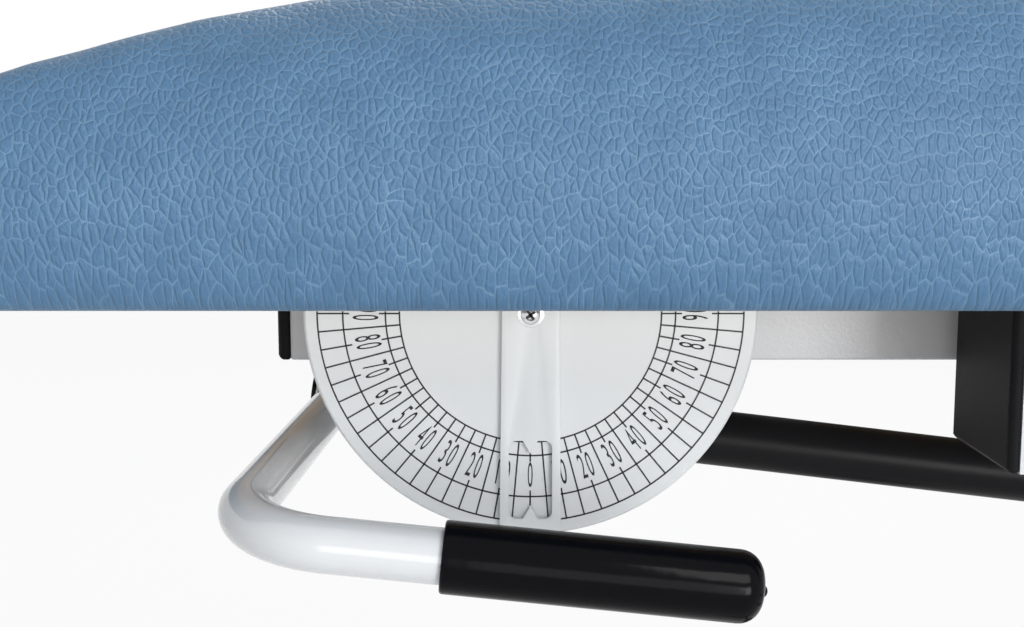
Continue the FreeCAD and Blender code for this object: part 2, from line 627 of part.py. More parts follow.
mid_y = V.base_rail_in + V.base_rail_wide / 2
plates = []
for end, x in (("head", V.base_x + V.castor_inset),
               ("foot", V.base_x + V.base_long - V.castor_inset)):
    for name, side in SIDES:
        plates.append(castor(end + "_" + name, x, side * mid_y))
feature("castor_plates", Part.makeCompound(plates))

# Control box on the head-side tie tube, two push buttons, mains inlet at the back.
box_x = V.base_x + 2 * V.castor_inset + (V.base_rail_wide - V.box_long) / 2
case = Part.makeBox(V.box_long, V.box_wide, V.box_high, Vec(box_x, -V.box_wide / 2, V.base_top))
case = case.makeFillet(V.box_round, [e for e in case.Edges if e.BoundBox.ZLength > V.box_round])
button_z = V.base_top + V.box_high / 2
button_at = [box_x + V.box_long * share for share in (V.button_at_share, 1 - V.button_at_share)]
for x in button_at:
    case = case.cut(Part.makeCylinder(V.button_dia / 2 + V.button_gap, V.button_deep + V.lug_gap,
                                      Vec(x, -V.box_wide / 2, button_z), Vec(0, 1, 0)))
inlet_x = box_x + V.box_long / 2 - V.inlet_wide / 2
inlet_z = button_z - V.inlet_high / 2
case = case.cut(Part.makeBox(V.inlet_wide, V.inlet_high, V.inlet_high,
                             Vec(inlet_x, V.box_wide / 2 - V.inlet_high, inlet_z)))
feature("control_box", case)
socket = Part.makeBox(V.inlet_wide, V.inlet_high, V.inlet_high,
                      Vec(inlet_x, V.box_wide / 2 - V.inlet_high, inlet_z))
wall = V.lug_gap * 2
well = Part.makeBox(V.inlet_wide - 2 * wall, V.inlet_high, V.inlet_high - 2 * wall,
                    Vec(inlet_x + wall, V.box_wide / 2 - V.inlet_high + wall, inlet_z + wall))
feature("mains_inlet", socket.cut(well))
for label, x in zip(("button_up", "button_down"), button_at):
    cap = Part.makeCylinder(V.button_dia / 2, V.button_proud + V.button_deep,
                            Vec(x, -V.box_wide / 2 - V.button_proud, button_z), Vec(0, 1, 0))
    rim = [e for e in cap.Edges if e.BoundBox.YMax < -V.box_wide / 2 - V.button_proud / 2
           and e.BoundBox.YLength < V.fit_gap]
    feature(label, cap.makeFillet(V.button_proud / 4, rim))

# Tilt actuator, drawn along its own axis from the foot pin to the rod end pin.
ram_foot = Vec(V.ram_foot_x, 0, V.ram_foot_z)
ram_top = Vec(V.ram_top_x, 0, V.ram_top_z)
ram_line = ram_top - ram_foot
ram_span = ram_line.Length


def y_disc(radius, wide, x=0, z=0):
    """Disc on a Y axis, centred across."""
    return Part.makeCylinder(radius, wide, Vec(x, -wide / 2, z), Vec(0, 1, 0))


eye_r = V.ram_eye_dia / 2
gear_low = eye_r + V.lug_gap
gear_wide = V.ram_dia + 2 * V.lug_thick
motor_side = V.ram_dia / 2 + V.motor_dia / 2 + V.lug_thick
gear = Part.makeBox(gear_wide / 2 + motor_side + V.motor_dia / 2, gear_wide, V.gear_high,
                    Vec(-gear_wide / 2, -gear_wide / 2, gear_low))
gear = gear.makeFillet(V.box_round, gear.Edges)
neck = Part.makeBox(eye_r, V.ram_eye_wide, gear_low + V.box_round,
                    Vec(-eye_r / 2, -V.ram_eye_wide / 2, 0))
housing = gear.fuse(neck).fuse(y_disc(eye_r, V.ram_eye_wide))
housing = housing.cut(y_disc(V.ram_pin_dia / 2 + V.bush_gap, V.ram_eye_wide * 2))
feature("ram_gear_housing", turned(housing, ram_foot, ram_line))
tube_low = gear_low + V.gear_high
tube = Part.makeCylinder(V.ram_dia / 2, V.ram_tube_long - tube_low, Vec(0, 0, tube_low))
tube = tube.cut(Part.makeCylinder(V.ram_dia / 2 - V.base_wall, V.ram_tube_long,
                                  Vec(0, 0, tube_low + V.base_wall)))
feature("ram_tube", turned(tube, ram_foot, ram_line))
guide_long = V.ram_pin_dia
guide = Part.makeCylinder(V.ram_dia / 2, guide_long, Vec(0, 0, V.ram_tube_long))
guide = guide.cut(Part.makeCylinder(V.ram_rod_dia / 2 + V.bush_gap, 2 * guide_long,
                                    Vec(0, 0, V.ram_tube_long - guide_long / 2)))
feature("ram_guide", turned(guide, ram_foot, ram_line))
motor = Part.makeCylinder(V.motor_dia / 2, V.motor_long, Vec(motor_side, 0, tube_low))
motor = motor.makeFillet(V.box_round, [e for e in motor.Edges
                                       if e.BoundBox.ZMin > tube_low + V.box_round])
feature("ram_motor", turned(motor, ram_foot, ram_line))
rod_low = tube_low + 2 * V.base_wall
rod_top = ram_span - eye_r - V.lug_thick - 2 * V.lug_gap
piston = Part.makeCylinder(V.ram_rod_dia / 2, rod_top - rod_low, Vec(0, 0, rod_low))
rod_neck = Part.makeBox(V.ram_eye_wide, V.ram_eye_wide, ram_span - rod_top + V.lug_gap,
                        Vec(-V.ram_eye_wide / 2, -V.ram_eye_wide / 2, rod_top - V.lug_gap))
piston = piston.fuse(rod_neck)
rod_eye = y_disc(eye_r, V.ram_eye_wide, z=ram_span)
ram_rod_shape = piston.fuse(rod_eye).cut(y_disc(V.ram_pin_dia / 2, V.ram_eye_wide * 2, z=ram_span))
feature("ram_rod", turned(ram_rod_shape, ram_foot, ram_line))
feature("ram_rod_pin", turned(y_disc(V.ram_pin_dia / 2, V.ram_eye_wide + V.lug_gap, z=ram_span),
                              ram_foot, ram_line))
lugs = []
heads = []
for name, side in SIDES:
    y = low_y("ram_eye_wide/2 + lug_gap", "lug_thick", side)
    plate = box("ram_foot_plate_" + name, ("ram_foot_x - ram_eye_dia/2", y, "base_top"),
                "ram_eye_dia", "lug_thick", "ram_foot_z - base_top")
    eye = rod("ram_foot_eye_" + name, ("ram_foot_x", y, "ram_foot_z"), "ram_eye_dia/2",
              "lug_thick", AXIS_Y)
    bore = rod("ram_foot_bore_" + name, ("ram_foot_x", "%s - fit_gap" % y, "ram_foot_z"),
               "ram_pin_dia/2", "lug_thick + 2*fit_gap", AXIS_Y)
    lugs.append(cut("ram_foot_lug_" + name, fuse("ram_foot_body_" + name, plate, eye), bore))
    plate = box("ram_top_plate_" + name, ("ram_top_x - ram_eye_dia/2", y, "ram_top_z"),
                "ram_eye_dia", "lug_thick", "cross_z - ram_top_z")
    eye = rod("ram_top_eye_" + name, ("ram_top_x", y, "ram_top_z"), "ram_eye_dia/2",
              "lug_thick", AXIS_Y)
    head_y = low_y("ram_eye_wide/2 + lug_gap + lug_thick", "lug_gap*3", side)
    head = rod("ram_top_head_" + name, ("ram_top_x", head_y, "ram_top_z"),
               "ram_pin_dia*pin_cap_share",
               "lug_gap*3", AXIS_Y)
    heads.append(fuse("ram_top_lug_" + name, plate, eye, head))
node(group("ram_foot_bracket", *lugs), "ram_foot_bracket")
node(group("ram_top_bracket", *heads), "ram_top_bracket")
node(rod("ram_pin_rod", ("ram_foot_x", "-(ram_eye_wide/2 + lug_gap + 1.5*lug_thick)",
                         "ram_foot_z"), "ram_pin_dia/2",
         "ram_eye_wide + 2*lug_gap + 3*lug_thick", AXIS_Y), "ram_foot_pin")

# Backrest frame: two beams, cross tubes, end caps and the hinge plates with their pins.
for name, side in SIDES:
    y = low_y("beam_outer - beam_deep", "beam_deep", side)
    node(x_tube("beam_" + name, ("beam_x", y, "beam_z"), "beam_long", "beam_deep", "beam_high",
                "beam_wall"), "backrest_beam_" + name)
caps = []
for name, side in SIDES:
    y = low_y("beam_outer - beam_deep", "beam_deep", side)
    caps.append(x_cap("beam_cap_" + name, ("beam_x", y, "beam_z"), "beam_deep", "beam_high",
                      "beam_wall", "beam_cap_flange", -1))
node(group("beam_end_caps", *caps), "beam_end_caps")
bars = []
for index, at in enumerate(("strut_at - cross_wide/2", "rest_at - 2*cross_wide",
                            "backrest_length - 4*cross_wide")):
    bars.append(y_tube("back_cross_%d" % index,
                       ("head_x + " + at, "-beam_outer + beam_deep", "beam_z"), "cross_wide",
                       "2*(beam_outer - beam_deep)", "beam_high", "beam_wall"))
node(group("backrest_cross_tubes", *bars), "backrest_cross_tubes")
plates = []
pins = []
for name, side in SIDES:
    y = low_y("beam_outer", "hinge_plate", side)
    foot = box("back_hinge_foot_" + name, ("hinge_x - 5*hinge_eye", y, "beam_z + beam_wall"),
               "6*hinge_eye", "hinge_plate", "beam_high - 2*beam_wall")
    riser = box("back_hinge_riser_" + name, ("hinge_x - hinge_eye", y, "beam_z + beam_wall"),
                "2*hinge_eye", "hinge_plate", "hinge_z - beam_z - beam_wall")
    eye = rod("back_hinge_eye_" + name, ("hinge_x", y, "hinge_z"), "hinge_eye", "hinge_plate",
              AXIS_Y)
    bore = rod("back_hinge_bore_" + name, ("hinge_x", "%s - fit_gap" % y, "hinge_z"),
               "hinge_pin_dia/2", "hinge_plate + 2*fit_gap", AXIS_Y)
    body = fuse("back_hinge_body_" + name, foot, riser, eye)
    plates.append(cut("back_hinge_" + name, body, bore))
    pin_y = low_y("beam_outer", "rail_inner - beam_outer + lug_gap", side)
    pins.append(rod("hinge_pin_" + name, ("hinge_x", pin_y, "hinge_z"), "hinge_pin_dia/2",
                    "rail_inner - beam_outer + lug_gap", AXIS_Y))
node(group("backrest_hinge_plates", *plates), "backrest_hinge_plates")
node(group("backrest_hinge_pins", *pins), "backrest_hinge_pins")

# Gas strut, drawn along its own axis from the upper pin to the rod end.
strut_top = Vec(V.strut_x, -V.strut_side, V.strut_z)
strut_foot = Vec(V.strut_foot_x, -V.strut_side, V.strut_foot_z)
strut_line = strut_foot - strut_top
strut_span = strut_line.Length
strut_r = V.strut_dia / 2
head_end = strut_r * V.strut_end_share
neck_r = V.strut_dia / 3
hub_low = -V.hub_offset - V.hub_long / 2
head = Part.makeCylinder(strut_r, head_end + strut_r, Vec(0, 0, -strut_r))
neck = Part.makeCylinder(neck_r, -hub_low + V.hub_gap - strut_r, Vec(0, 0, hub_low - V.hub_gap))
cap = Part.makeCylinder(strut_r * V.strut_cap_share, V.lug_thick / 2, Vec(0, 0, hub_low - V.hub_gap
                                                              - V.lug_thick / 2))
cap = cap.makeFillet(V.lug_thick / 5, [e for e in cap.Edges
                                       if e.BoundBox.ZMax < hub_low - V.lug_thick / 2])
head = head.fuse(neck).fuse(cap).cut(y_disc(V.strut_pin_dia / 2 + V.bush_gap, V.strut_dia * 2))
feature("strut_head", turned(head, strut_top, strut_line))
tube = Part.makeCylinder(strut_r, V.strut_tube - head_end, Vec(0, 0, head_end))
tube = tube.cut(Part.makeCylinder(strut_r - V.beam_wall, V.strut_tube, Vec(0, 0, head_end)))
feature("strut_tube", turned(tube, strut_top, strut_line))
gland_long = V.strut_eye_wide
gland = Part.makeCylinder(strut_r, gland_long, Vec(0, 0, V.strut_tube))
gland = gland.makeFillet(V.lug_gap * 2, [e for e in gland.Edges
                                         if e.BoundBox.ZMin > V.strut_tube + V.lug_gap])
gland = gland.cut(Part.makeCylinder(V.strut_rod_dia / 2 + V.bush_gap, 2 * gland_long,
                                    Vec(0, 0, V.strut_tube - gland_long / 2)))
feature("strut_gland", turned(gland, strut_top, strut_line))
strut_eye_r = V.strut_eye_dia / 2
rod_low = head_end + V.lug_thick
piston = Part.makeCylinder(V.strut_rod_dia / 2, strut_span - strut_eye_r / 2 - rod_low,
                           Vec(0, 0, rod_low))
rod_eye = y_disc(strut_eye_r, V.strut_eye_wide, z=strut_span)
bore = y_disc(V.strut_pin_dia / 2, V.strut_eye_wide * 2, z=strut_span)
feature("strut_rod", turned(piston.fuse(rod_eye).cut(bore), strut_top, strut_line))
feature("strut_rod_pin", turned(y_disc(V.strut_pin_dia / 2, V.strut_eye_wide + V.lug_gap,
                                       z=strut_span), strut_top, strut_line))

lugs = []
for name, side in SIDES:
    inner = V.strut_dia / 2 + V.lug_gap
    y_low = -V.strut_side + (inner if side > 0 else -inner - V.lug_thick)
    reach = V.strut_pin_dia * V.lug_reach_share
    top = V.beam_z
    outline = wire([Vec(V.strut_x - V.lug_wide / 2, y_low, top),
                    Vec(V.strut_x - reach, y_low, V.strut_z - reach / 2),
                    Vec(V.strut_x - reach / 2, y_low, V.strut_z - reach),
                    Vec(V.strut_x + reach / 2, y_low, V.strut_z - reach),
                    Vec(V.strut_x + reach, y_low, V.strut_z - reach / 2),
                    Vec(V.strut_x + V.lug_wide / 2, y_low, top),
                    Vec(V.strut_x - V.lug_wide / 2, y_low, top)])
    plate = Part.Face(outline).extrude(Vec(0, V.lug_thick, 0))
    lugs.append(plate.cut(Part.makeCylinder(V.strut_pin_dia / 2, V.lug_thick * 3,
                                            Vec(V.strut_x, y_low - V.lug_thick, V.strut_z),
                                            Vec(0, 1, 0))))
feature("strut_top_bracket", Part.makeCompound(lugs))
pin_half = V.strut_dia / 2 + V.lug_gap + V.lug_thick * 1.5
feature("strut_top_pin", Part.makeCylinder(V.strut_pin_dia / 2, 2 * pin_half,
                                           Vec(V.strut_x, -V.strut_side - pin_half, V.strut_z),
                                           Vec(0, 1, 0)))
lugs = []
cross_x = V.head_x + V.strut_foot_at + V.cross_wide + 8 * V.fit_gap
for name, side in SIDES:
    inner = V.strut_eye_wide / 2 + V.lug_gap
    y_low = -V.strut_side + (inner if side > 0 else -inner - V.lug_thick)
    reach = V.strut_pin_dia * V.lug_reach_share
    x = V.strut_foot_x
    z = V.strut_foot_z
    outline = wire([Vec(x - reach, y_low, z + reach / 2), Vec(x - reach, y_low, z - reach / 2),
                    Vec(x - reach / 2, y_low, z - reach), Vec(x + reach, y_low, z - reach),
                    Vec(cross_x + V.cross_wide, y_low, V.cross_z), Vec(cross_x, y_low, V.cross_z),
                    Vec(x, y_low, z + reach), Vec(x - reach, y_low, z + reach / 2)])
    plate = Part.Face(outline).extrude(Vec(0, V.lug_thick, 0))
    head_y = y_low + (V.lug_thick if side > 0 else -V.lug_gap * 2)
    lugs.append(plate.fuse(Part.makeCylinder(V.strut_pin_dia * V.pin_cap_share, V.lug_gap * 2,
                                             Vec(x, head_y, z), Vec(0, 1, 0))))
feature("strut_foot_bracket", Part.makeCompound(lugs))

# Release lever: hub on the strut's neck and a tube bent twice round to the operator's side.
unit = Vec(strut_line).normalize()
hub_at = strut_top - unit * V.hub_offset
corner = Vec(hub_at.x - V.lever_splay, -V.lever_reach, V.board_height - V.lever_low)
run = Vec(V.lever_run, 0, -V.lever_droop)
tip = corner + run
arm_way = (corner - hub_at).normalize()
run_way = Vec(run).normalize()
half_turn = arm_way.getAngle(run_way) / 2
setback = V.lever_bend * math.tan(half_turn)
bend_in = corner - arm_way * setback
bend_out = corner + run_way * setback
inward = (run_way - arm_way).normalize()
bend_mid = corner + inward * (V.lever_bend / math.cos(half_turn) - V.lever_bend)
arm_start = hub_at + arm_way * (neck_r + V.lug_gap)
path = Part.Wire([Part.LineSegment(arm_start, bend_in).toShape(),
                  Part.Arc(bend_in, bend_mid, bend_out).toShape(),
                  Part.LineSegment(bend_out, tip).toShape()])
section = Part.Wire([Part.Circle(arm_start, arm_way, V.lever_dia / 2).toShape()])
bar = path.makePipeShell([section], True, False)
hub = turned(Part.makeCylinder(V.hub_dia / 2, V.hub_long, Vec(0, 0, hub_low)), strut_top,
             strut_line)
bore = turned(Part.makeCylinder(neck_r + V.hub_gap, V.hub_long * 2,
                                Vec(0, 0, hub_low - V.hub_long / 2)), strut_top, strut_line)
feature("release_lever", hub.fuse(bar).cut(bore).removeSplitter())
grip_r = V.grip_dia / 2
grip = Part.makeCylinder(grip_r, V.grip_long, Vec(0, 0, 0))
grip = grip.makeFillet(grip_r * V.grip_end_share, [e for e in grip.Edges
                                                   if e.BoundBox.ZMin > V.grip_long / 2
                                       and e.BoundBox.ZLength < V.fit_gap])
grip = grip.fuse(Part.makeCylinder(V.grip_nub, V.grip_nub, Vec(0, 0, V.grip_long - V.fit_gap)))
cover = V.grip_long - V.grip_wall * 3
grip = grip.cut(Part.makeCylinder(V.lever_dia / 2, cover, Vec(0, 0, 0)))
feature("lever_grip", turned(grip, tip - run_way * cover, run_way))

# Goniometer: dial with a flat top, its bracket, the plumb pointer with a reading window.
dial = Part.makeCylinder(V.dial_dia / 2, V.dial_thick,
                         Vec(V.dial_x, -V.dial_face, V.dial_z), Vec(0, 1, 0))
clear_top = V.dial_drop - V.lug_gap
dial = dial.cut(Part.makeBox(V.dial_dia * 2, V.dial_thick * 4, V.dial_dia,
                             Vec(V.dial_x - V.dial_dia, -V.dial_face - V.dial_thick,
                                 V.dial_z + clear_top)))
edges = [e for e in dial.Edges if e.BoundBox.YMax < -V.dial_face + V.fit_gap
         and e.BoundBox.ZLength > V.dial_dia / 4]
dial = dial.makeChamfer(V.lug_gap, edges)
dial = dial.cut(Part.makeCylinder(V.pivot_hole / 2, V.dial_thick * 4,
                                  Vec(V.dial_x, -V.dial_face - V.dial_thick, V.dial_z),
                                  Vec(0, 1, 0)))
feature("dial", dial)
dial_back = -V.dial_face + V.dial_thick
deep = V.dial_face - V.dial_thick - V.beam_outer
bracket_z = V.dial_z - V.bracket_high / 2
bracket = Part.makeBox(V.bracket_wide, deep, V.bracket_high,
                       Vec(V.dial_x - V.bracket_wide / 2, dial_back, bracket_z))
wall = V.bracket_wall
bracket = bracket.cut(Part.makeBox(V.bracket_wide - 2 * wall, deep - 2 * wall, V.bracket_high,
                                   Vec(V.dial_x - V.bracket_wide / 2 + wall, dial_back + wall,
                                       bracket_z - wall)))
feature("dial_bracket", bracket)


def lobe(x, z):
    return Part.makeCylinder(lobe_r, V.pointer_thick * 4, Vec(x, -V.pointer_thick * 2, z),
                             Vec(0, 1, 0))


def tooth(z, way):
    base = lobe_x - lobe_r * V.tooth_base_share
    points = [Vec(-base, -V.pointer_thick * 2, z + way * lobe_r),
              Vec(base, -V.pointer_thick * 2, z + way * lobe_r),
              Vec(0, -V.pointer_thick * 2, z - way * V.window_tooth)]
    return Part.Face(wire(points + points[:1])).extrude(Vec(0, V.pointer_thick * 4, 0))


half_top = V.pointer_wide_top / 2
half_end = V.pointer_wide_end / 2
blade_top = V.pointer_top
outline = [Vec(-half_top, 0, blade_top), Vec(half_top, 0, blade_top),
           Vec(half_end, 0, -V.pointer_long), Vec(-half_end, 0, -V.pointer_long)]
blade = Part.Face(wire(outline + outline[:1])).extrude(Vec(0, V.pointer_thick, 0))
blade = blade.makeFillet(V.corner_small, [e for e in blade.Edges if e.BoundBox.YLength
                                          > V.pointer_thick / 2 and e.BoundBox.ZLength < V.fit_gap])
lobe_r = V.window_wide / 6
lobe_x = V.window_wide / 2 - lobe_r
window_high = V.window_end - V.window_top
window = Part.makeBox(V.window_wide, V.pointer_thick * 4, window_high - 2 * lobe_r,
                      Vec(-V.window_wide / 2, -V.pointer_thick * 2, -V.window_end + lobe_r))
inner_wide = 2 * lobe_x
window = window.fuse(Part.makeBox(inner_wide, V.pointer_thick * 4, window_high,
                                  Vec(-lobe_x, -V.pointer_thick * 2, -V.window_end)))
for z in (-V.window_top - lobe_r, -V.window_end + lobe_r):
    for x in (-lobe_x, lobe_x):
        window = window.fuse(lobe(x, z))
window = window.cut(tooth(-V.window_top, 1)).cut(tooth(-V.window_end, -1))
blade = blade.cut(window)
blade = blade.cut(Part.makeCylinder(V.pivot_hole / 2, V.pointer_thick * 4,
                                    Vec(0, -V.pointer_thick, 0), Vec(0, 1, 0)))
blade.translate(Vec(V.dial_x, -V.dial_face - V.pointer_gap - V.pointer_thick, V.dial_z))
feature("pointer", blade)

washer_y = -V.dial_face - V.pointer_gap - V.pointer_thick - V.fit_gap - V.washer_thick
washer = Part.makeCylinder(V.washer_dia / 2, V.washer_thick, Vec(V.dial_x, washer_y, V.dial_z),
                           Vec(0, 1, 0))
washer = washer.cut(Part.makeCylinder(V.pivot_pin / 2, V.washer_thick * 3,
                                      Vec(V.dial_x, washer_y - V.washer_thick, V.dial_z),
                                      Vec(0, 1, 0)))
feature("pivot_washer", washer)
head = Part.makeCylinder(V.screw_head_dia / 2, V.screw_head_high,
                         Vec(V.dial_x, washer_y - V.screw_head_high, V.dial_z), Vec(0, 1, 0))
head = head.makeFillet(V.screw_head_high / 2, [e for e in head.Edges
                                               if e.BoundBox.YMax < washer_y - V.washer_thick])
shank = Part.makeCylinder(V.pivot_pin / 2, dial_back - washer_y,
                          Vec(V.dial_x, washer_y, V.dial_z), Vec(0, 1, 0))
feature("pivot_screw", head.fuse(shank))

# Footboard: slide tubes in glides at the rail ends, cross bar, uprights, panel and mat.
slide_y = "rail_inner + (rail_deep - slide_tube)/2"
slides = []
glides = []
for name, side in SIDES:
    y = low_y(slide_y, "slide_tube", side)
    z = "rail_z + (rail_high - slide_tube)/2"
    slides.append(x_tube("slide_" + name, ("foot_x - slide_inside", y, z),
                         "slide_inside + slide_outside", "slide_tube", "slide_tube", "slide_wall"))
    inner_y = low_y("rail_inner + rail_wall", "rail_deep - 2*rail_wall", side)
    block = box("glide_block_" + name, ("foot_x - knob_back - knob_dia", inner_y,
                                        "rail_z + rail_wall"),
                "knob_back + knob_dia", "rail_deep - 2*rail_wall", "rail_high - 2*rail_wall")
    bore_y = low_y(slide_y + " - fit_gap", "slide_tube + 2*fit_gap", side)
    bore = box("glide_bore_" + name, ("foot_x - knob_back - knob_dia - lug_gap", bore_y,
                                      z + " - fit_gap"),
               "knob_back + knob_dia + 2*lug_gap", "slide_tube + 2*fit_gap",
               "slide_tube + 2*fit_gap")
    glides.append(cut("glide_" + name, block, bore))
node(group("slide_tubes", *slides), "footboard_slides")
node(group("slide_glides", *glides), "slide_glides")
bar_z = "rail_z + (rail_high - foot_bar)/2"
node(box("foot_bar_block", ("foot_bar_x", "-(%s + slide_tube)" % slide_y, bar_z), "foot_bar",
         "2*(%s + slide_tube)" % slide_y, "foot_bar"), "footboard_bar")
uprights = []
for name, side in SIDES:
    y = low_y("foot_panel_wide/4", "foot_bar", side)
    uprights.append(box("foot_upright_" + name, ("foot_bar_x + foot_panel_thick", y,
                                                 bar_z + " + foot_bar"),
                        "foot_bar - foot_panel_thick", "foot_bar",
                        "board_height + foot_panel_rise + foot_panel_high*strap_high_share - (%s)"
                        " - foot_bar" % bar_z))
node(group("foot_uprights", *uprights), "footboard_uprights")
panel = Part.makeBox(V.foot_panel_thick, V.foot_panel_wide, V.foot_panel_high,
                     Vec(V.foot_bar_x, -V.foot_panel_wide / 2, V.board_height + V.foot_panel_rise))
corners = [e for e in panel.Edges if e.BoundBox.XLength > V.foot_panel_thick / 2]
feature("footboard_panel", panel.makeFillet(V.foot_bar, corners))
inset = V.foot_panel_rise
mat = Part.makeBox(V.foot_mat_thick, V.foot_panel_wide - 2 * inset, V.foot_panel_high - 2 * inset,
                   Vec(V.foot_bar_x - V.foot_mat_thick, -V.foot_panel_wide / 2 + inset,
                       V.board_height + V.foot_panel_rise + inset))
corners = [e for e in mat.Edges if e.BoundBox.XLength > V.foot_mat_thick / 2]
feature("footboard_mat", mat.makeFillet(V.foot_bar - inset / 2, corners))


# Clamp knobs under the rails: a lobed head on a threaded stem in a welded boss.
def star_knob(label, x, y):
    head_z = V.rail_z - V.knob_thick * 2
    core = Part.makeCylinder(V.knob_dia / 2 - V.corner_small, V.knob_thick, Vec(x, y, head_z))
    lobes = 6
    for turn in range(lobes):
        angle = 2 * math.pi * turn / lobes
        reach = V.knob_dia / 2
        core = core.cut(Part.makeCylinder(V.corner_small * V.knob_bite_share, V.knob_thick * 2,
                                          Vec(x + reach * math.cos(angle),
                                              y + reach * math.sin(angle),
                                              head_z - V.knob_thick / 2)))
    stem = Part.makeCylinder(V.knob_stem / 2, V.knob_thick * 2 - V.knob_thick - V.fit_gap
                             + V.rail_wall, Vec(x, y, head_z + V.knob_thick - V.fit_gap))
    feature(label, core.fuse(stem))


knob_x = V.foot_x - V.knob_back
bosses = []
for name, side in SIDES:
    y = side * (V.rail_inner + V.rail_deep / 2)
    star_knob("clamp_knob_" + name, knob_x, y)
    boss = Part.makeCylinder(V.knob_stem, V.knob_stem, Vec(knob_x, y, V.rail_z - V.knob_stem))
    bosses.append(boss.cut(Part.makeCylinder(V.knob_stem / 2 + V.bush_gap, V.knob_stem * 3,
                                             Vec(knob_x, y, V.rail_z - V.knob_stem * 2))))
feature("clamp_bosses", Part.makeCompound(bosses))

# Welded and fixed pieces of one assembly that share a node, each still its own solid.
SHARED = {
    "main_rails": ("main_rail_front", "main_rail_back"),
    "base_rails": ("base_rail_front", "base_rail_back"),
    "backrest_beams": ("backrest_beam_front", "backrest_beam_back"),
    "pivot_posts": ("pivot_post_front", "pivot_post_back"),
    "rail_fittings": ("pivot_lugs", "board_carriers", "backrest_rests", "clamp_bosses"),
    "drive_brackets": ("ram_top_bracket", "strut_foot_bracket"),
    "base_ties": ("base_cross_tubes", "castor_plates"),
    "ram_motor_unit": ("ram_gear_housing", "ram_motor"),
    "ram_outer_tube": ("ram_tube", "ram_guide"),
    "ram_piston": ("ram_rod", "ram_rod_pin"),
    "ram_foot_mount": ("ram_foot_bracket", "ram_foot_pin"),
    "strut_top_mount": ("strut_top_bracket", "strut_top_pin"),
    "strut_piston": ("strut_rod", "strut_rod_pin"),
    "pointer_screw": ("pivot_screw", "pivot_washer"),
    "footboard_frame": ("footboard_slides", "footboard_bar", "footboard_uprights"),
}
for end in ("head", "foot"):
    for name, side in SIDES:
        key = end + "_" + name
        SHARED["castor_roller_" + key] = ("castor_wheel_" + key, "castor_tyre_" + key)
for label, members in SHARED.items():
    links = [item for item in NODES if item.Label in members]
    NODES = [item for item in NODES if item.Label not in members]
    node(group(label + "_set", *links), label)

doc.recompute()
for item in doc.Objects:
    if "Invalid" in item.State or "Error" in item.State:
        raise RuntimeError("failed object: " + item.Name)
os.makedirs("parts", exist_ok=True)
for item in NODES:
    shape = item.Shape
    if shape.isNull() or not shape.isValid() or shape.Volume <= 0:
        raise RuntimeError("bad shape: " + item.Label)
for item in NODES:
    item.Shape.exportStep("parts/%s.step" % item.Label)
print("nodes", len(NODES))
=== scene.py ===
import math
import bpy
from mathutils import Euler, Matrix, Vector


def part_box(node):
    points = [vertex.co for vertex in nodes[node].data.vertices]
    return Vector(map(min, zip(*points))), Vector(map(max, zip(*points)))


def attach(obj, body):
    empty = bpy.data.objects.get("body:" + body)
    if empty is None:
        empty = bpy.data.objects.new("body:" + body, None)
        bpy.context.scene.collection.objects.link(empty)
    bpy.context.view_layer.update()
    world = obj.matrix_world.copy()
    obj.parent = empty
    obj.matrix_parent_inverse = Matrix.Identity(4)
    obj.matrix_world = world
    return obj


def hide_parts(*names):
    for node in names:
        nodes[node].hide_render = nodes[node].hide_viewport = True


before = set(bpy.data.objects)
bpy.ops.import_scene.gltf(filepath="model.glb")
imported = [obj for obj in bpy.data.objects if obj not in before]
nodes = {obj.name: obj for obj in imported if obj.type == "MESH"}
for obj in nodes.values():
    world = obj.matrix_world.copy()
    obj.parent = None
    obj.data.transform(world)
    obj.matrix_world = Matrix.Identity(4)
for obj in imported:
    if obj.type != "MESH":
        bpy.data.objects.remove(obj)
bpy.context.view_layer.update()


# White frame: rails, beams, cross tubes, hinge plates, posts and base.
# Welded square steel tube and laser-cut plate, blasted and powder coated in a cool light
# grey. The coat has a faint orange-peel skin and slightly uneven gloss.
def math_step(tree, kind):
    """A Math node of one kind."""
    step = tree.nodes.new("ShaderNodeMath")
    step.operation = kind
    return step


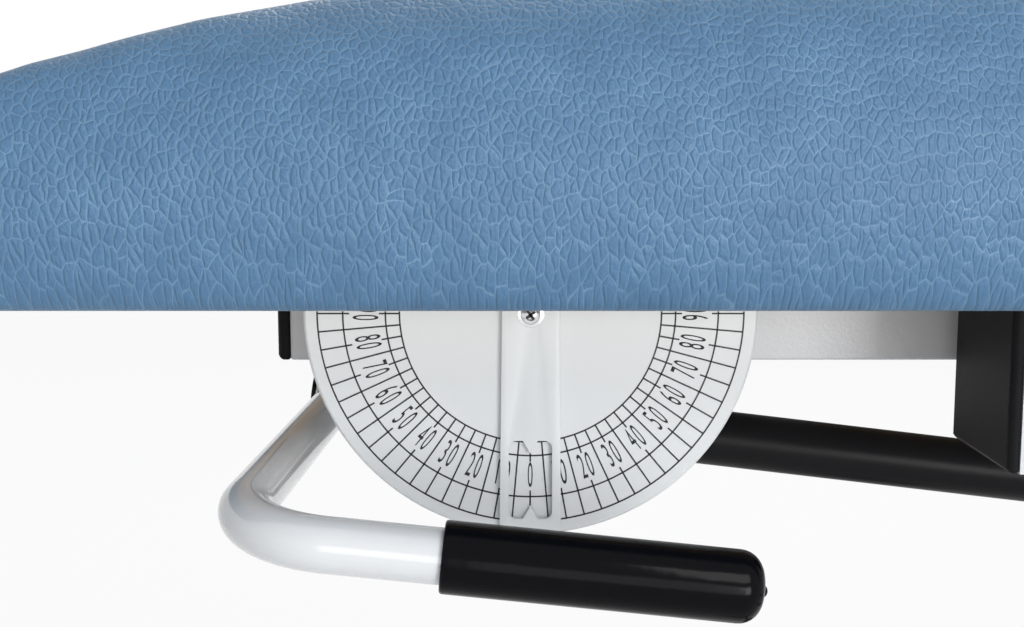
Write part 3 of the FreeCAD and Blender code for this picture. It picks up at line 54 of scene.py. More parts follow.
def build_coat_skin():
    """Shared skin of coated, moulded and plated pieces: cloudy tone and gloss, fine peel."""
    tree = bpy.data.node_groups.new("coat_skin", "ShaderNodeTree")
    for name, kind, start in (("Vector", "NodeSocketVector", None),
                              ("Colour", "NodeSocketColor", (0.8, 0.8, 0.8, 1)),
                              ("Tone", "NodeSocketFloat", 0.04),
                              ("Roughness", "NodeSocketFloat", 0.4),
                              ("Spread", "NodeSocketFloat", 0.1),
                              ("Grain", "NodeSocketFloat", 700.0)):
        socket = tree.interface.new_socket(name, in_out="INPUT", socket_type=kind)
        if start is not None:
            socket.default_value = start
    for name, kind in (("Colour", "NodeSocketColor"), ("Roughness", "NodeSocketFloat"),
                       ("Height", "NodeSocketFloat")):
        tree.interface.new_socket(name, in_out="OUTPUT", socket_type=kind)
    given = tree.nodes.new("NodeGroupInput")
    out = tree.nodes.new("NodeGroupOutput")
    clouds = tree.nodes.new("ShaderNodeTexNoise")
    clouds.inputs["Scale"].default_value = 7.0
    clouds.inputs["Detail"].default_value = 4.0
    peel = tree.nodes.new("ShaderNodeTexNoise")
    peel.inputs["Detail"].default_value = 2.0
    lift = math_step(tree, "SUBTRACT")
    lift.inputs[1].default_value = 0.5
    tone = math_step(tree, "MULTIPLY_ADD")
    tone.inputs[2].default_value = 1.0
    shade = tree.nodes.new("ShaderNodeHueSaturation")
    gloss = math_step(tree, "MULTIPLY_ADD")
    link = tree.links.new
    link(given.outputs["Vector"], clouds.inputs["Vector"])
    link(given.outputs["Vector"], peel.inputs["Vector"])
    link(given.outputs["Grain"], peel.inputs["Scale"])
    link(clouds.outputs["Fac"], lift.inputs[0])
    link(lift.outputs[0], tone.inputs[0])
    link(given.outputs["Tone"], tone.inputs[1])
    link(tone.outputs[0], shade.inputs["Value"])
    link(given.outputs["Colour"], shade.inputs["Color"])
    link(lift.outputs[0], gloss.inputs[0])
    link(given.outputs["Spread"], gloss.inputs[1])
    link(given.outputs["Roughness"], gloss.inputs[2])
    link(shade.outputs["Color"], out.inputs["Colour"])
    link(gloss.outputs[0], out.inputs["Roughness"])
    link(peel.outputs["Fac"], out.inputs["Height"])
    return tree


coat_skin = build_coat_skin()


def skinned(name, colour, roughness, tone=0.06, spread=0.12, grain=700.0, depth=0.0001,
            metal=0.0, coat=0.0, coat_roughness=0.08, specular=0.5):
    """A finish whose tone, gloss and fine skin change a little over the surface."""
    finish = bpy.data.materials.new(name)
    finish.use_nodes = True
    tree = finish.node_tree
    shader = tree.nodes["Principled BSDF"]
    shader.inputs["Metallic"].default_value = metal
    shader.inputs["Coat Weight"].default_value = coat
    shader.inputs["Coat Roughness"].default_value = coat_roughness
    shader.inputs["Specular IOR Level"].default_value = specular
    where = tree.nodes.new("ShaderNodeTexCoord")
    skin = tree.nodes.new("ShaderNodeGroup")
    skin.node_tree = coat_skin
    skin.inputs["Colour"].default_value = (*colour, 1)
    skin.inputs["Tone"].default_value = tone
    skin.inputs["Roughness"].default_value = roughness
    skin.inputs["Spread"].default_value = spread
    skin.inputs["Grain"].default_value = grain
    bump = tree.nodes.new("ShaderNodeBump")
    bump.inputs["Distance"].default_value = depth
    tree.links.new(where.outputs["Object"], skin.inputs["Vector"])
    tree.links.new(skin.outputs["Colour"], shader.inputs["Base Color"])
    tree.links.new(skin.outputs["Roughness"], shader.inputs["Roughness"])
    tree.links.new(skin.outputs["Height"], bump.inputs["Height"])
    tree.links.new(bump.outputs["Normal"], shader.inputs["Normal"])
    return finish


def finish_nodes(finish, *names):
    """Gives pieces that come from the CAD their finish."""
    for name in names:
        nodes[name].data.materials.clear()
        nodes[name].data.materials.append(finish)


def soften_edges(radius, *names):
    """Rounds the sharp edges of CAD pieces, as tube corners and moulded edges are round."""
    for name in names:
        weld = nodes[name].modifiers.new("weld", "WELD")
        weld.merge_threshold = 0.00001
        flat = nodes[name].modifiers.new("flat_faces", "DECIMATE")
        flat.decimate_type = "DISSOLVE"
        flat.angle_limit = math.radians(1.0)
        edge = nodes[name].modifiers.new("soft_edges", "BEVEL")
        edge.width = radius
        edge.segments = 3
        edge.limit_method = "ANGLE"
        edge.angle_limit = math.radians(40)


white_coat = skinned("white_powder_coat", (0.60, 0.612, 0.63), 0.36)
finish_nodes(white_coat, "main_rails", "main_cross_tubes", "main_hinge_plates", "rail_fittings",
             "drive_brackets", "backrest_beams", "backrest_cross_tubes", "backrest_hinge_plates",
             "dial_bracket", "strut_top_mount", "pivot_posts", "base_rails", "base_ties",
             "ram_foot_mount", "footboard_frame")
soften_edges(0.0022, "main_rails", "backrest_beams", "base_rails", "main_cross_tubes",
             "backrest_cross_tubes", "pivot_posts", "base_ties")


# Welds of the frame.
# MIG fillet welds where tube meets tube and plate meets tube, left as welded and coated over
# with the frame: rows of small overlapping ripples.
def fresh():
    """Back to object mode with nothing selected."""
    if bpy.context.object is not None and bpy.context.object.mode != "OBJECT":
        bpy.ops.object.mode_set(mode="OBJECT")
    bpy.ops.object.select_all(action="DESELECT")


def pick(piece):
    """Selects one piece alone, so that the next operator acts on nothing else."""
    fresh()
    piece.select_set(True)
    bpy.context.view_layer.objects.active = piece


def settle(piece, name, finish, body):
    """Applies a new piece's place, then gives it its name, finish and body."""
    pick(piece)
    bpy.ops.object.transform_apply(location=True, rotation=True, scale=True)
    piece.name = name
    piece.data.name = name
    piece.data.materials.clear()
    piece.data.materials.append(finish)
    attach(piece, body)


def joined(pieces):
    """Joins pieces into the first of them."""
    fresh()
    for piece in pieces:
        piece.select_set(True)
    bpy.context.view_layer.objects.active = pieces[0]
    bpy.ops.object.join()
    return bpy.context.object


def copy_at(piece, place, turn=(0.0, 0.0, 0.0)):
    """A copy with its own mesh, turned and moved to its place in the mesh itself."""
    twin = piece.copy()
    twin.data = piece.data.copy()
    bpy.context.scene.collection.objects.link(twin)
    twin.data.transform(Matrix.Translation(place) @ Euler(turn).to_matrix().to_4x4())
    return twin


RIPPLE_STEP = 0.0024
fresh()
bpy.ops.mesh.primitive_uv_sphere_add(segments=10, ring_count=6, radius=0.0027)
weld_ripple = bpy.context.object
weld_ripple.scale = (0.8, 1, 1)
bpy.ops.object.transform_apply(location=False, rotation=False, scale=True)
bpy.ops.object.shade_smooth()


def weld_run(start, end):
    """A fillet weld from start to end: the ripples that the welder's hand leaves, in a row."""
    run = Vector(end) - Vector(start)
    turn = Vector((1, 0, 0)).rotation_difference(run).to_euler()
    steps = max(2, int(run.length / RIPPLE_STEP))
    return [copy_at(weld_ripple, Vector(start) + run * (step + 0.5) / steps, turn)
            for step in range(steps)]


def corner_welds(x_sides, y_face, z_low, z_high):
    """Upright welds where the ends of a cross tube meet the two long tubes."""
    runs = []
    for x in x_sides:
        for side in (-1, 1):
            runs += weld_run((x, side * y_face, z_low + 0.003), (x, side * y_face, z_high - 0.003))
    return runs


def welded(name, runs, body):
    """Joins the runs of one frame into a piece with the frame's coat over it."""
    settle(joined(runs), name, white_coat, body)


BEAM_INNER, BEAM_LOW, BEAM_HIGH = 0.158, 0.656, 0.700
RAIL_INNER, CROSS_LOW, CROSS_HIGH = 0.210, 0.624, 0.664
BASE_INNER, TIE_LOW, TIE_HIGH = 0.290, 0.104, 0.154
BACKREST_CROSS_SIDES = ((-0.816, -0.776), (-0.586, -0.546), (-0.366, -0.326))
MAIN_CROSS_SIDES = ((0.364, 0.404), (0.640, 0.680))
STRUT_CROSS_SIDES = (-0.3144, -0.2744)
BASE_TIE_SIDES = ((-0.496, -0.446), (-0.006, 0.034), (0.574, 0.634))
runs = []
for x_sides in BACKREST_CROSS_SIDES:
    runs += corner_welds(x_sides, BEAM_INNER, BEAM_LOW, BEAM_HIGH)
for side in (-1, 1):
    runs += weld_run((-0.301, side * 0.188, 0.661), (-0.301, side * 0.188, 0.690))
    runs += weld_run((-0.298, side * 0.1885, 0.6585), (-0.230, side * 0.1885, 0.6585))
for y in (-0.122, -0.116, -0.084, -0.078):
    runs += weld_run((-0.811, y, 0.6558), (-0.781, y, 0.6558))
welded("backrest_welds", runs, "backrest")
runs = corner_welds(STRUT_CROSS_SIDES, RAIL_INNER, CROSS_LOW, 0.654)
for x_sides in MAIN_CROSS_SIDES:
    runs += corner_welds(x_sides, RAIL_INNER, CROSS_LOW, CROSS_HIGH)
for side in (-1, 1):
    runs += weld_run((-0.225, side * RAIL_INNER, 0.630), (-0.225, side * RAIL_INNER, 0.690))
    for y in (0.242, 0.252):
        runs += weld_run((0.583, side * y, CROSS_LOW), (0.645, side * y, CROSS_LOW))
    for y in (0.013, 0.022):
        runs += weld_run((0.370, side * y, CROSS_LOW), (0.398, side * y, CROSS_LOW))
for y in (-0.116, -0.108, -0.092, -0.084):
    runs += weld_run((-0.3120, y, CROSS_LOW), (-0.2770, y, CROSS_LOW))
welded("main_frame_welds", runs, "main_frame")
runs = []
for x_sides in BASE_TIE_SIDES:
    runs += corner_welds(x_sides, BASE_INNER, TIE_LOW, TIE_HIGH)
for side in (-1, 1):
    for y in (0.185, 0.225):
        runs += weld_run((0.577, side * y, TIE_HIGH), (0.632, side * y, TIE_HIGH))
    for y in (0.013, 0.019):
        runs += weld_run((0.000, side * y, TIE_HIGH), (0.028, side * y, TIE_HIGH))
welded("base_welds", runs, "base")
runs = []
for side in (-1, 1):
    for y in (0.1175, 0.1575):
        runs += weld_run((1.006, side * y, 0.679), (1.024, side * y, 0.679))
    for z in (0.639, 0.679):
        runs += weld_run((0.986, side * 0.223, z), (0.986, side * 0.267, z))
welded("footboard_welds", runs, "footboard")
bpy.data.objects.remove(weld_ripple)


# Bolts, nuts and screws of the frame.
# Zinc-plated hexagon bolts with washers hold the boards, the linkage pins and the castors, and
# domed screws hold the footboard, dial bracket and control box. All are standard turned and
# cold-headed steel.
zinc_plate = skinned("zinc_plated_steel", (0.60, 0.61, 0.62), 0.3, tone=0.14, spread=0.16,
                     grain=1500.0, depth=0.00003, metal=1.0)


def break_edges(radius, steps):
    """Rounds every edge of the piece that was just added."""
    bpy.ops.object.mode_set(mode="EDIT")
    bpy.ops.mesh.select_all(action="SELECT")
    bpy.ops.mesh.bevel(offset=radius, segments=steps, affect="EDGES")
    bpy.ops.object.mode_set(mode="OBJECT")


def model_hex_bolt(across, high):
    """A hexagon head on its washer, standing on the XY plane."""
    fresh()
    bpy.ops.mesh.primitive_cylinder_add(vertices=6, radius=across / math.sqrt(3), depth=high,
                                        location=(0, 0, high / 2 + 0.0012))
    head = bpy.context.object
    bpy.ops.object.transform_apply(location=True, rotation=False, scale=False)
    break_edges(across * 0.035, 2)
    fresh()
    bpy.ops.mesh.primitive_cylinder_add(vertices=28, radius=across * 0.82, depth=0.0014,
                                        location=(0, 0, 0.0007))
    ring = bpy.context.object
    bpy.ops.object.transform_apply(location=True, rotation=False, scale=False)
    break_edges(0.0003, 1)
    bolt = joined([head, ring])
    pick(bolt)
    bpy.ops.object.shade_smooth_by_angle(angle=math.radians(30))
    return bolt


def cut_recess(head, driver):
    """Cuts the driver's shape out of a screw head."""
    recess = head.modifiers.new("recess", "BOOLEAN")
    recess.operation = "DIFFERENCE"
    recess.object = driver
    recess.solver = "EXACT"
    pick(head)
    bpy.ops.object.modifier_apply(modifier="recess")
    bpy.data.objects.remove(driver)


def model_domed_screw(radius):
    """A low domed head with a hexagon socket, standing on the XY plane."""
    fresh()
    bpy.ops.mesh.primitive_uv_sphere_add(segments=28, ring_count=14, radius=radius)
    dome = bpy.context.object
    dome.scale = (1, 1, 0.52)
    bpy.ops.object.transform_apply(location=False, rotation=False, scale=True)
    bpy.ops.object.mode_set(mode="EDIT")
    bpy.ops.mesh.select_all(action="SELECT")
    bpy.ops.mesh.bisect(plane_co=(0, 0, 0), plane_no=(0, 0, 1), clear_inner=True, use_fill=True)
    bpy.ops.object.mode_set(mode="OBJECT")
    fresh()
    bpy.ops.mesh.primitive_cylinder_add(vertices=6, radius=radius * 0.48, depth=radius,
                                        location=(0, 0, radius * 0.68))
    socket = bpy.context.object
    cut_recess(dome, socket)
    bpy.ops.object.shade_smooth_by_angle(angle=math.radians(35))
    return dome


DOWN = (math.pi, 0.0, 0.0)
FRONT = (math.radians(90), 0.0, 0.0)
BACK = (math.radians(-90), 0.0, 0.0)
bolt_m8 = model_hex_bolt(0.013, 0.0050)
bolt_m6 = model_hex_bolt(0.010, 0.0038)
domed_m6 = model_domed_screw(0.0062)


def fastened(name, copies, body):
    """Joins the copied screws or bolts of one place into a piece."""
    settle(joined(copies), name, zinc_plate, body)


fastened("backrest_board_bolts",
         [copy_at(bolt_m6, (x, side * 0.173, BEAM_LOW), DOWN)
          for x in (-0.790, -0.640, -0.470, -0.330) for side in (-1, 1)], "backrest")
fastened("dial_bracket_screws",
         [copy_at(domed_m6, (x, -0.221, 0.674), DOWN) for x in (-0.756, -0.696)], "backrest")
fastened("leg_board_bolts",
         [copy_at(bolt_m8, (x, side * 0.231, CROSS_LOW), DOWN)
          for x in (0.0124, 0.438, 0.795) for side in (-1, 1)], "main_frame")
RAM_TOP = Vector((0.384, 0, 0.558))
RAM_FOOT = Vector((0.014, 0, 0.218))
STRUT_FOOT = Vector((-0.356, -0.100, 0.5673))
fastened("main_linkage_bolts",
         [copy_at(bolt_m8, (RAM_TOP.x, side * 0.022, RAM_TOP.z), FRONT if side < 0 else BACK)
          for side in (-1, 1)]
         + [copy_at(bolt_m6, (STRUT_FOOT.x, STRUT_FOOT.y - 0.016, STRUT_FOOT.z), FRONT),
            copy_at(bolt_m6, (STRUT_FOOT.x, STRUT_FOOT.y + 0.016, STRUT_FOOT.z), BACK)],
         "main_frame")
fastened("ram_foot_bolts",
         [copy_at(bolt_m8, (RAM_FOOT.x, side * 0.0215, RAM_FOOT.z), FRONT if side < 0 else BACK)
          for side in (-1, 1)], "base")
upright_face = max(point.co.y for point in nodes["footboard_frame"].data.vertices
                   if point.co.z > 0.745)
fastened("footboard_screws",
         [copy_at(domed_m6, (1.015, side * upright_face, z), FRONT if side < 0 else BACK)
          for side in (-1, 1) for z in (0.745, 0.925)], "footboard")
fresh()
bpy.ops.mesh.primitive_cylinder_add(vertices=40, radius=0.0115, depth=0.0014)
hinge_ring = bpy.context.object
break_edges(0.0003, 2)
bpy.ops.object.shade_smooth_by_angle(angle=math.radians(30))
BACKREST_HINGE = Vector((-0.206, 0, 0.762))
fastened("hinge_rings",
         [copy_at(hinge_ring, (BACKREST_HINGE.x, side * 0.2108, BACKREST_HINGE.z), FRONT)
          for side in (-1, 1)], "backrest")
bpy.data.objects.remove(hinge_ring)


# Black mouldings: tube end caps, slide glides, clamp knobs and rest buffers.
# Injection moulded in black with a fine spark-eroded texture. The caps are pushed into the
# tubes.
black_moulding = skinned("black_moulded_plastic", (0.012, 0.012, 0.013), 0.5, tone=0.25,
                         spread=0.15, grain=1600.0, depth=0.00018, specular=0.06)
finish_nodes(black_moulding, "rail_end_caps", "beam_end_caps", "base_end_caps", "slide_glides",
             "clamp_knob_front", "clamp_knob_back", "rest_buffers")
soften_edges(0.0026, "rail_end_caps")
soften_edges(0.0014, "beam_end_caps", "base_end_caps")


# Cushions: backrest and leg section.
# Firm foam on a plywood board, covered in blue grained vinyl that is drawn tight round the
# foam and stapled under the board. The foam swells a little under the cover.
def build_vinyl_grain():
    """Embossed hide grain: long cells between fine creases, laid over sides and top as one
    sheet (along the table, then up the side and over the top), and across the end faces."""
    tree = bpy.data.node_groups.new("vinyl_grain", "ShaderNodeTree")
    tree.interface.new_socket("Vector", in_out="INPUT", socket_type="NodeSocketVector")
    tree.interface.new_socket("Normal", in_out="INPUT", socket_type="NodeSocketVector")
    width = tree.interface.new_socket("Cell Width", in_out="INPUT", socket_type="NodeSocketFloat")
    width.default_value = 0.005
    for name in ("Crease", "Height", "Mottle"):
        tree.interface.new_socket(name, in_out="OUTPUT", socket_type="NodeSocketFloat")
    given = tree.nodes.new("NodeGroupInput")
    out = tree.nodes.new("NodeGroupOutput")
    link = tree.links.new

    def math_node(kind, first, second=None, third=None):
        step = math_step(tree, kind)
        for slot, item in enumerate((first, second, third)):
            if item is None:
                continue
            if isinstance(item, float):
                step.inputs[slot].default_value = item
            else:
                link(item, step.inputs[slot])
        return step.outputs[0]

    place = tree.nodes.new("ShaderNodeSeparateXYZ")
    link(given.outputs["Vector"], place.inputs[0])
    facing = tree.nodes.new("ShaderNodeSeparateXYZ")
    link(given.outputs["Normal"], facing.inputs[0])
    on_end = math_node("GREATER_THAN", math_node("ABSOLUTE", facing.outputs["X"]), 0.8)
    round_over = math_node("SUBTRACT", place.outputs["Z"],
                           math_node("ABSOLUTE", place.outputs["Y"]))
    sheet_side = tree.nodes.new("ShaderNodeCombineXYZ")
    link(place.outputs["X"], sheet_side.inputs["X"])
    link(round_over, sheet_side.inputs["Y"])
    sheet_end = tree.nodes.new("ShaderNodeCombineXYZ")
    link(place.outputs["Y"], sheet_end.inputs["X"])
    link(place.outputs["Z"], sheet_end.inputs["Y"])
    sheet = tree.nodes.new("ShaderNodeMix")
    sheet.data_type = "VECTOR"
    link(on_end, sheet.inputs["Factor"])
    link(sheet_side.outputs[0], sheet.inputs[4])
    link(sheet_end.outputs[0], sheet.inputs[5])
    rate = math_node("DIVIDE", 1.0, given.outputs["Cell Width"])
    bend = tree.nodes.new("ShaderNodeTexNoise")
    bend.inputs["Scale"].default_value = 150.0
    bend.inputs["Detail"].default_value = 2.0
    link(sheet.outputs[1], bend.inputs["Vector"])
    centred = tree.nodes.new("ShaderNodeVectorMath")
    centred.operation = "SUBTRACT"
    centred.inputs[1].default_value = (0.5, 0.5, 0.5)
    link(bend.outputs["Color"], centred.inputs[0])
    pushed = tree.nodes.new("ShaderNodeVectorMath")
    pushed.operation = "MULTIPLY_ADD"
    pushed.inputs[1].default_value = (0.0022, 0.0028, 0.0)
    link(centred.outputs[0], pushed.inputs[0])
    link(sheet.outputs[1], pushed.inputs[2])
    heights = []
    edges = []
    for size, lengthen in ((1.0, 0.52), (1.7, 0.6)):
        stretch = tree.nodes.new("ShaderNodeVectorMath")
        stretch.operation = "MULTIPLY"
        stretch.inputs[1].default_value = (size, size * lengthen, 1.0)
        link(pushed.outputs[0], stretch.inputs[0])
        cells = tree.nodes.new("ShaderNodeTexVoronoi")
        cells.voronoi_dimensions = "2D"
        cells.feature = "DISTANCE_TO_EDGE"
        link(stretch.outputs[0], cells.inputs["Vector"])
        link(rate, cells.inputs["Scale"])
        ramp = tree.nodes.new("ShaderNodeMapRange")
        ramp.interpolation_type = "SMOOTHSTEP"
        ramp.inputs["From Min"].default_value = 0.0
        ramp.inputs["From Max"].default_value = 0.30
        link(cells.outputs["Distance"], ramp.inputs["Value"])
        heights.append(ramp.outputs["Result"])
        line = tree.nodes.new("ShaderNodeMapRange")
        line.inputs["From Min"].default_value = 0.015
        line.inputs["From Max"].default_value = 0.07
        line.inputs["To Min"].default_value = 1.0
        line.inputs["To Max"].default_value = 0.0
        link(cells.outputs["Distance"], line.inputs["Value"])
        edges.append(line.outputs["Result"])
    fine = tree.nodes.new("ShaderNodeTexNoise")
    fine.inputs["Scale"].default_value = 900.0
    fine.inputs["Detail"].default_value = 3.0
    link(given.outputs["Vector"], fine.inputs["Vector"])
    mottle = tree.nodes.new("ShaderNodeTexNoise")
    mottle.inputs["Scale"].default_value = 55.0
    mottle.inputs["Detail"].default_value = 5.0
    link(given.outputs["Vector"], mottle.inputs["Vector"])
    deep = math_node("MULTIPLY_ADD", mottle.outputs["Fac"], 1.4, -0.1)
    small = math_node("MULTIPLY", heights[1], 0.22)
    height = math_node("MULTIPLY_ADD", heights[0], 0.8, small)
    height = math_node("MULTIPLY_ADD", fine.outputs["Fac"], 0.22, height)
    weak = math_node("MULTIPLY", edges[1], 0.35)
    crease = math_node("MULTIPLY", math_node("MAXIMUM", edges[0], weak), deep)
    link(math_node("MINIMUM", crease, 1.0), out.inputs["Crease"])
    link(height, out.inputs["Height"])
    link(mottle.outputs["Fac"], out.inputs["Mottle"])
    return tree


vinyl_grain = build_vinyl_grain()
VINYL_BLUE = (0.081, 0.180, 0.310)
# The paler blue of the creases is a painted highlight: light caught on the crease ridges, painted
# into the colour.
VINYL_CREASE_HIGHLIGHT = (0.20, 0.325, 0.465)


def blue_vinyl(name, colour, crease_highlight_colour):
    """Grained cover vinyl: darker cells, creases painted paler as a painted highlight on their
    ridges, and a soft mottle.
    """
    cover = bpy.data.materials.new(name)
    cover.use_nodes = True
    tree = cover.node_tree
    shader = tree.nodes["Principled BSDF"]
    shader.inputs["Roughness"].default_value = 0.42
    shader.inputs["Specular IOR Level"].default_value = 0.3
    where = tree.nodes.new("ShaderNodeTexCoord")
    grain = tree.nodes.new("ShaderNodeGroup")
    grain.node_tree = vinyl_grain
    grain.inputs["Cell Width"].default_value = 0.0032
    tint = tree.nodes.new("ShaderNodeMix")
    tint.data_type = "RGBA"
    tint.inputs["A"].default_value = (*colour, 1)
    tint.inputs["B"].default_value = (*crease_highlight_colour, 1)
    share = math_step(tree, "MULTIPLY")
    share.inputs[1].default_value = 0.75
    value = tree.nodes.new("ShaderNodeMapRange")
    value.inputs["To Min"].default_value = 0.86
    value.inputs["To Max"].default_value = 1.12
    shade = tree.nodes.new("ShaderNodeHueSaturation")
    bump = tree.nodes.new("ShaderNodeBump")
    bump.inputs["Strength"].default_value = 0.8
    bump.inputs["Distance"].default_value = 0.0005
    link = tree.links.new
    link(where.outputs["Object"], grain.inputs["Vector"])
    link(where.outputs["Normal"], grain.inputs["Normal"])
    # The crease mask lays the paler blue, a painted highlight, along the creases.
    link(grain.outputs["Crease"], share.inputs[0])
    link(share.outputs[0], tint.inputs["Factor"])
    link(grain.outputs["Mottle"], value.inputs["Value"])
    link(tint.outputs["Result"], shade.inputs["Color"])
    link(value.outputs["Result"], shade.inputs["Value"])
    link(shade.outputs["Color"], shader.inputs["Base Color"])
    link(grain.outputs["Height"], bump.inputs["Height"])
    link(bump.outputs["Normal"], shader.inputs["Normal"])
    return cover


vinyl = blue_vinyl("blue_grained_vinyl", VINYL_BLUE, VINYL_CREASE_HIGHLIGHT)


def head_end_rise(x):
    """The backrest's foam: thinner towards the head end, fullest under the shoulders."""
    places = (-1.06, -0.99, -0.92, -0.85, -0.78, -0.71, -0.64, -0.50, -0.30, -0.14, -0.10)
    rises = (-0.003, -0.007, -0.0075, -0.0050, -0.0008, 0.0040, 0.0066, 0.0072, 0.003, 0, 0)
    for spot in range(1, len(places) - 2):
        left, right = places[spot], places[spot + 1]
        if left <= x <= right:
            part = (x - left) / (right - left)
            slopes = [(rises[at + 1] - rises[at - 1]) / (places[at + 1] - places[at - 1])
                      * (right - left) for at in (spot, spot + 1)]
            return (rises[spot] * (1 + 2 * part) * (1 - part) ** 2
                    + slopes[0] * part * (1 - part) ** 2
                    + rises[spot + 1] * part * part * (3 - 2 * part)
                    + slopes[1] * part * part * (part - 1))
    return 0.0


def leg_end_rise(x):
    """The leg section's foam stands a little fuller in the middle of its length."""
    return 0.003 * max(0.0, 1.0 - ((x - 0.42) / 0.5) ** 2)


VOXEL = 0.0075
CLOTH_STEPS = 12
EDGE_BAND = 0.012
LIP_START = 0.326


def build_cushion(name, cad_node, body, rise, lip_drop=0.0056, swell=0.003):
    """Cushion from its CAD form: remeshed, blown up a little as cloth, then smoothed."""
    cushion = nodes[cad_node].copy()
    cushion.data = nodes[cad_node].data.copy()
    cushion.name = name
    cushion.parent = None
    cushion.matrix_world = Matrix.Identity(4)
    cushion.modifiers.clear()
    bpy.context.scene.collection.objects.link(cushion)
    pick(cushion)
    cushion.data.materials.clear()
    bpy.ops.object.mode_set(mode="EDIT")
    bpy.ops.mesh.select_all(action="SELECT")
    bpy.ops.mesh.remove_doubles(threshold=0.00001)
    bpy.ops.object.mode_set(mode="OBJECT")
    cells = cushion.modifiers.new("even_cells", "REMESH")
    cells.mode = "VOXEL"
    cells.voxel_size = VOXEL
    bpy.ops.object.modifier_apply(modifier="even_cells")
    start = [vertex.co.copy() for vertex in cushion.data.vertices]
    low = min(point.z for point in start)
    foam = cushion.modifiers.new("foam_push", "CLOTH")
    foam.settings.use_pressure = True
    foam.settings.uniform_pressure_force = 4.0
    foam.settings.effector_weights.gravity = 0.0
    foam.settings.quality = 5
    scene = bpy.context.scene
    for step in range(1, CLOTH_STEPS + 1):
        scene.frame_set(step)
    bpy.ops.object.modifier_apply(modifier="foam_push")
    scene.frame_set(1)
    for vertex, point in zip(cushion.data.vertices, start):
        move = vertex.co - point
        if move.length > swell:
            move = move.normalized() * swell
        above = min(1.0, max(0.0, (point.z - low - 0.02) / 0.03))
        vertex.co = point + move * above
    smooth = cushion.modifiers.new("drawn_tight", "SMOOTH")
    smooth.factor = 0.5
    smooth.iterations = 6
    bpy.ops.object.modifier_apply(modifier="drawn_tight")
    for vertex, point in zip(cushion.data.vertices, start):
        edge = min(1.0, max(0.0, (low + 0.018 - point.z) / EDGE_BAND))
        vertex.co = vertex.co.lerp(point, 0.85 * edge)
        lip = min(1.0, max(0.0, (abs(vertex.co.y) - LIP_START) / EDGE_BAND))
        vertex.co.z -= lip_drop * lip * edge
        high = min(1.0, max(0.0, (point.z - low - 0.02) / 0.09))
        vertex.co.z += high * rise(point.x)
    finer = cushion.modifiers.new("finer", "SUBSURF")
    finer.levels = 1
    finer.render_levels = 1
    bpy.ops.object.modifier_apply(modifier="finer")
    bpy.ops.object.shade_smooth()
    cushion.data.materials.append(vinyl)
    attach(cushion, body)
    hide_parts(cad_node)


build_cushion("backrest_cushion", "backrest_pad", "backrest", head_end_rise)
build_cushion("leg_cushion", "leg_pad", "main_frame", leg_end_rise)


# Boards under the cushions.
# Birch plywood panels, sanded and sealed; their edges show the plies.
def birch_plywood(name):
    """Birch with veins along the panel and thin plies across its thickness."""
    wood = bpy.data.materials.new(name)
    wood.use_nodes = True
    tree = wood.node_tree
    shader = tree.nodes["Principled BSDF"]
    shader.inputs["Coat Weight"].default_value = 0.15
    where = tree.nodes.new("ShaderNodeTexCoord")
    flow = tree.nodes.new("ShaderNodeMapping")
    flow.inputs["Scale"].default_value = (3.0, 40.0, 420.0)
    veins = tree.nodes.new("ShaderNodeTexNoise")
    veins.inputs["Scale"].default_value = 1.6
    veins.inputs["Detail"].default_value = 6.0
    veins.inputs["Distortion"].default_value = 0.4
    tint = tree.nodes.new("ShaderNodeValToRGB")
    tint.color_ramp.elements[0].color = (0.42, 0.27, 0.14, 1)
    tint.color_ramp.elements[1].color = (0.66, 0.49, 0.31, 1)
    gloss = tree.nodes.new("ShaderNodeMapRange")
    gloss.inputs["To Min"].default_value = 0.42
    gloss.inputs["To Max"].default_value = 0.62
    bump = tree.nodes.new("ShaderNodeBump")
    bump.inputs["Distance"].default_value = 0.0003
    link = tree.links.new
    link(where.outputs["Object"], flow.inputs["Vector"])
    link(flow.outputs["Vector"], veins.inputs["Vector"])
    link(veins.outputs["Fac"], tint.inputs["Fac"])
    link(veins.outputs["Fac"], gloss.inputs["Value"])
    link(veins.outputs["Fac"], bump.inputs["Height"])
    link(tint.outputs["Color"], shader.inputs["Base Color"])
    link(gloss.outputs["Result"], shader.inputs["Roughness"])
    link(bump.outputs["Normal"], shader.inputs["Normal"])
    return wood


finish_nodes(birch_plywood("birch_plywood"), "backrest_board", "leg_board")


# Cover turned under the boards.
# The vinyl goes round each board's lower edge, is pulled tight there and held by wire staples
# in a row along its cut edge.
COVER_THICK = 0.0012
STAPLE_INSET = 0.020
STAPLE_STEP = 0.042
CORNER_CLEAR = 0.04
STRIP_PROUD = 0.014
STRIP_WIDE = 0.034
fresh()
bpy.ops.mesh.primitive_cube_add(size=1)
staple = bpy.context.object
staple.scale = (0.0105, 0.0013, 0.0009)
bpy.ops.object.transform_apply(location=False, rotation=False, scale=True)
break_edges(0.0003, 1)
staple_wire = skinned("staple_wire", (0.55, 0.56, 0.57), 0.32, tone=0.2, grain=2500.0,
                      depth=0.00002, metal=1.0)


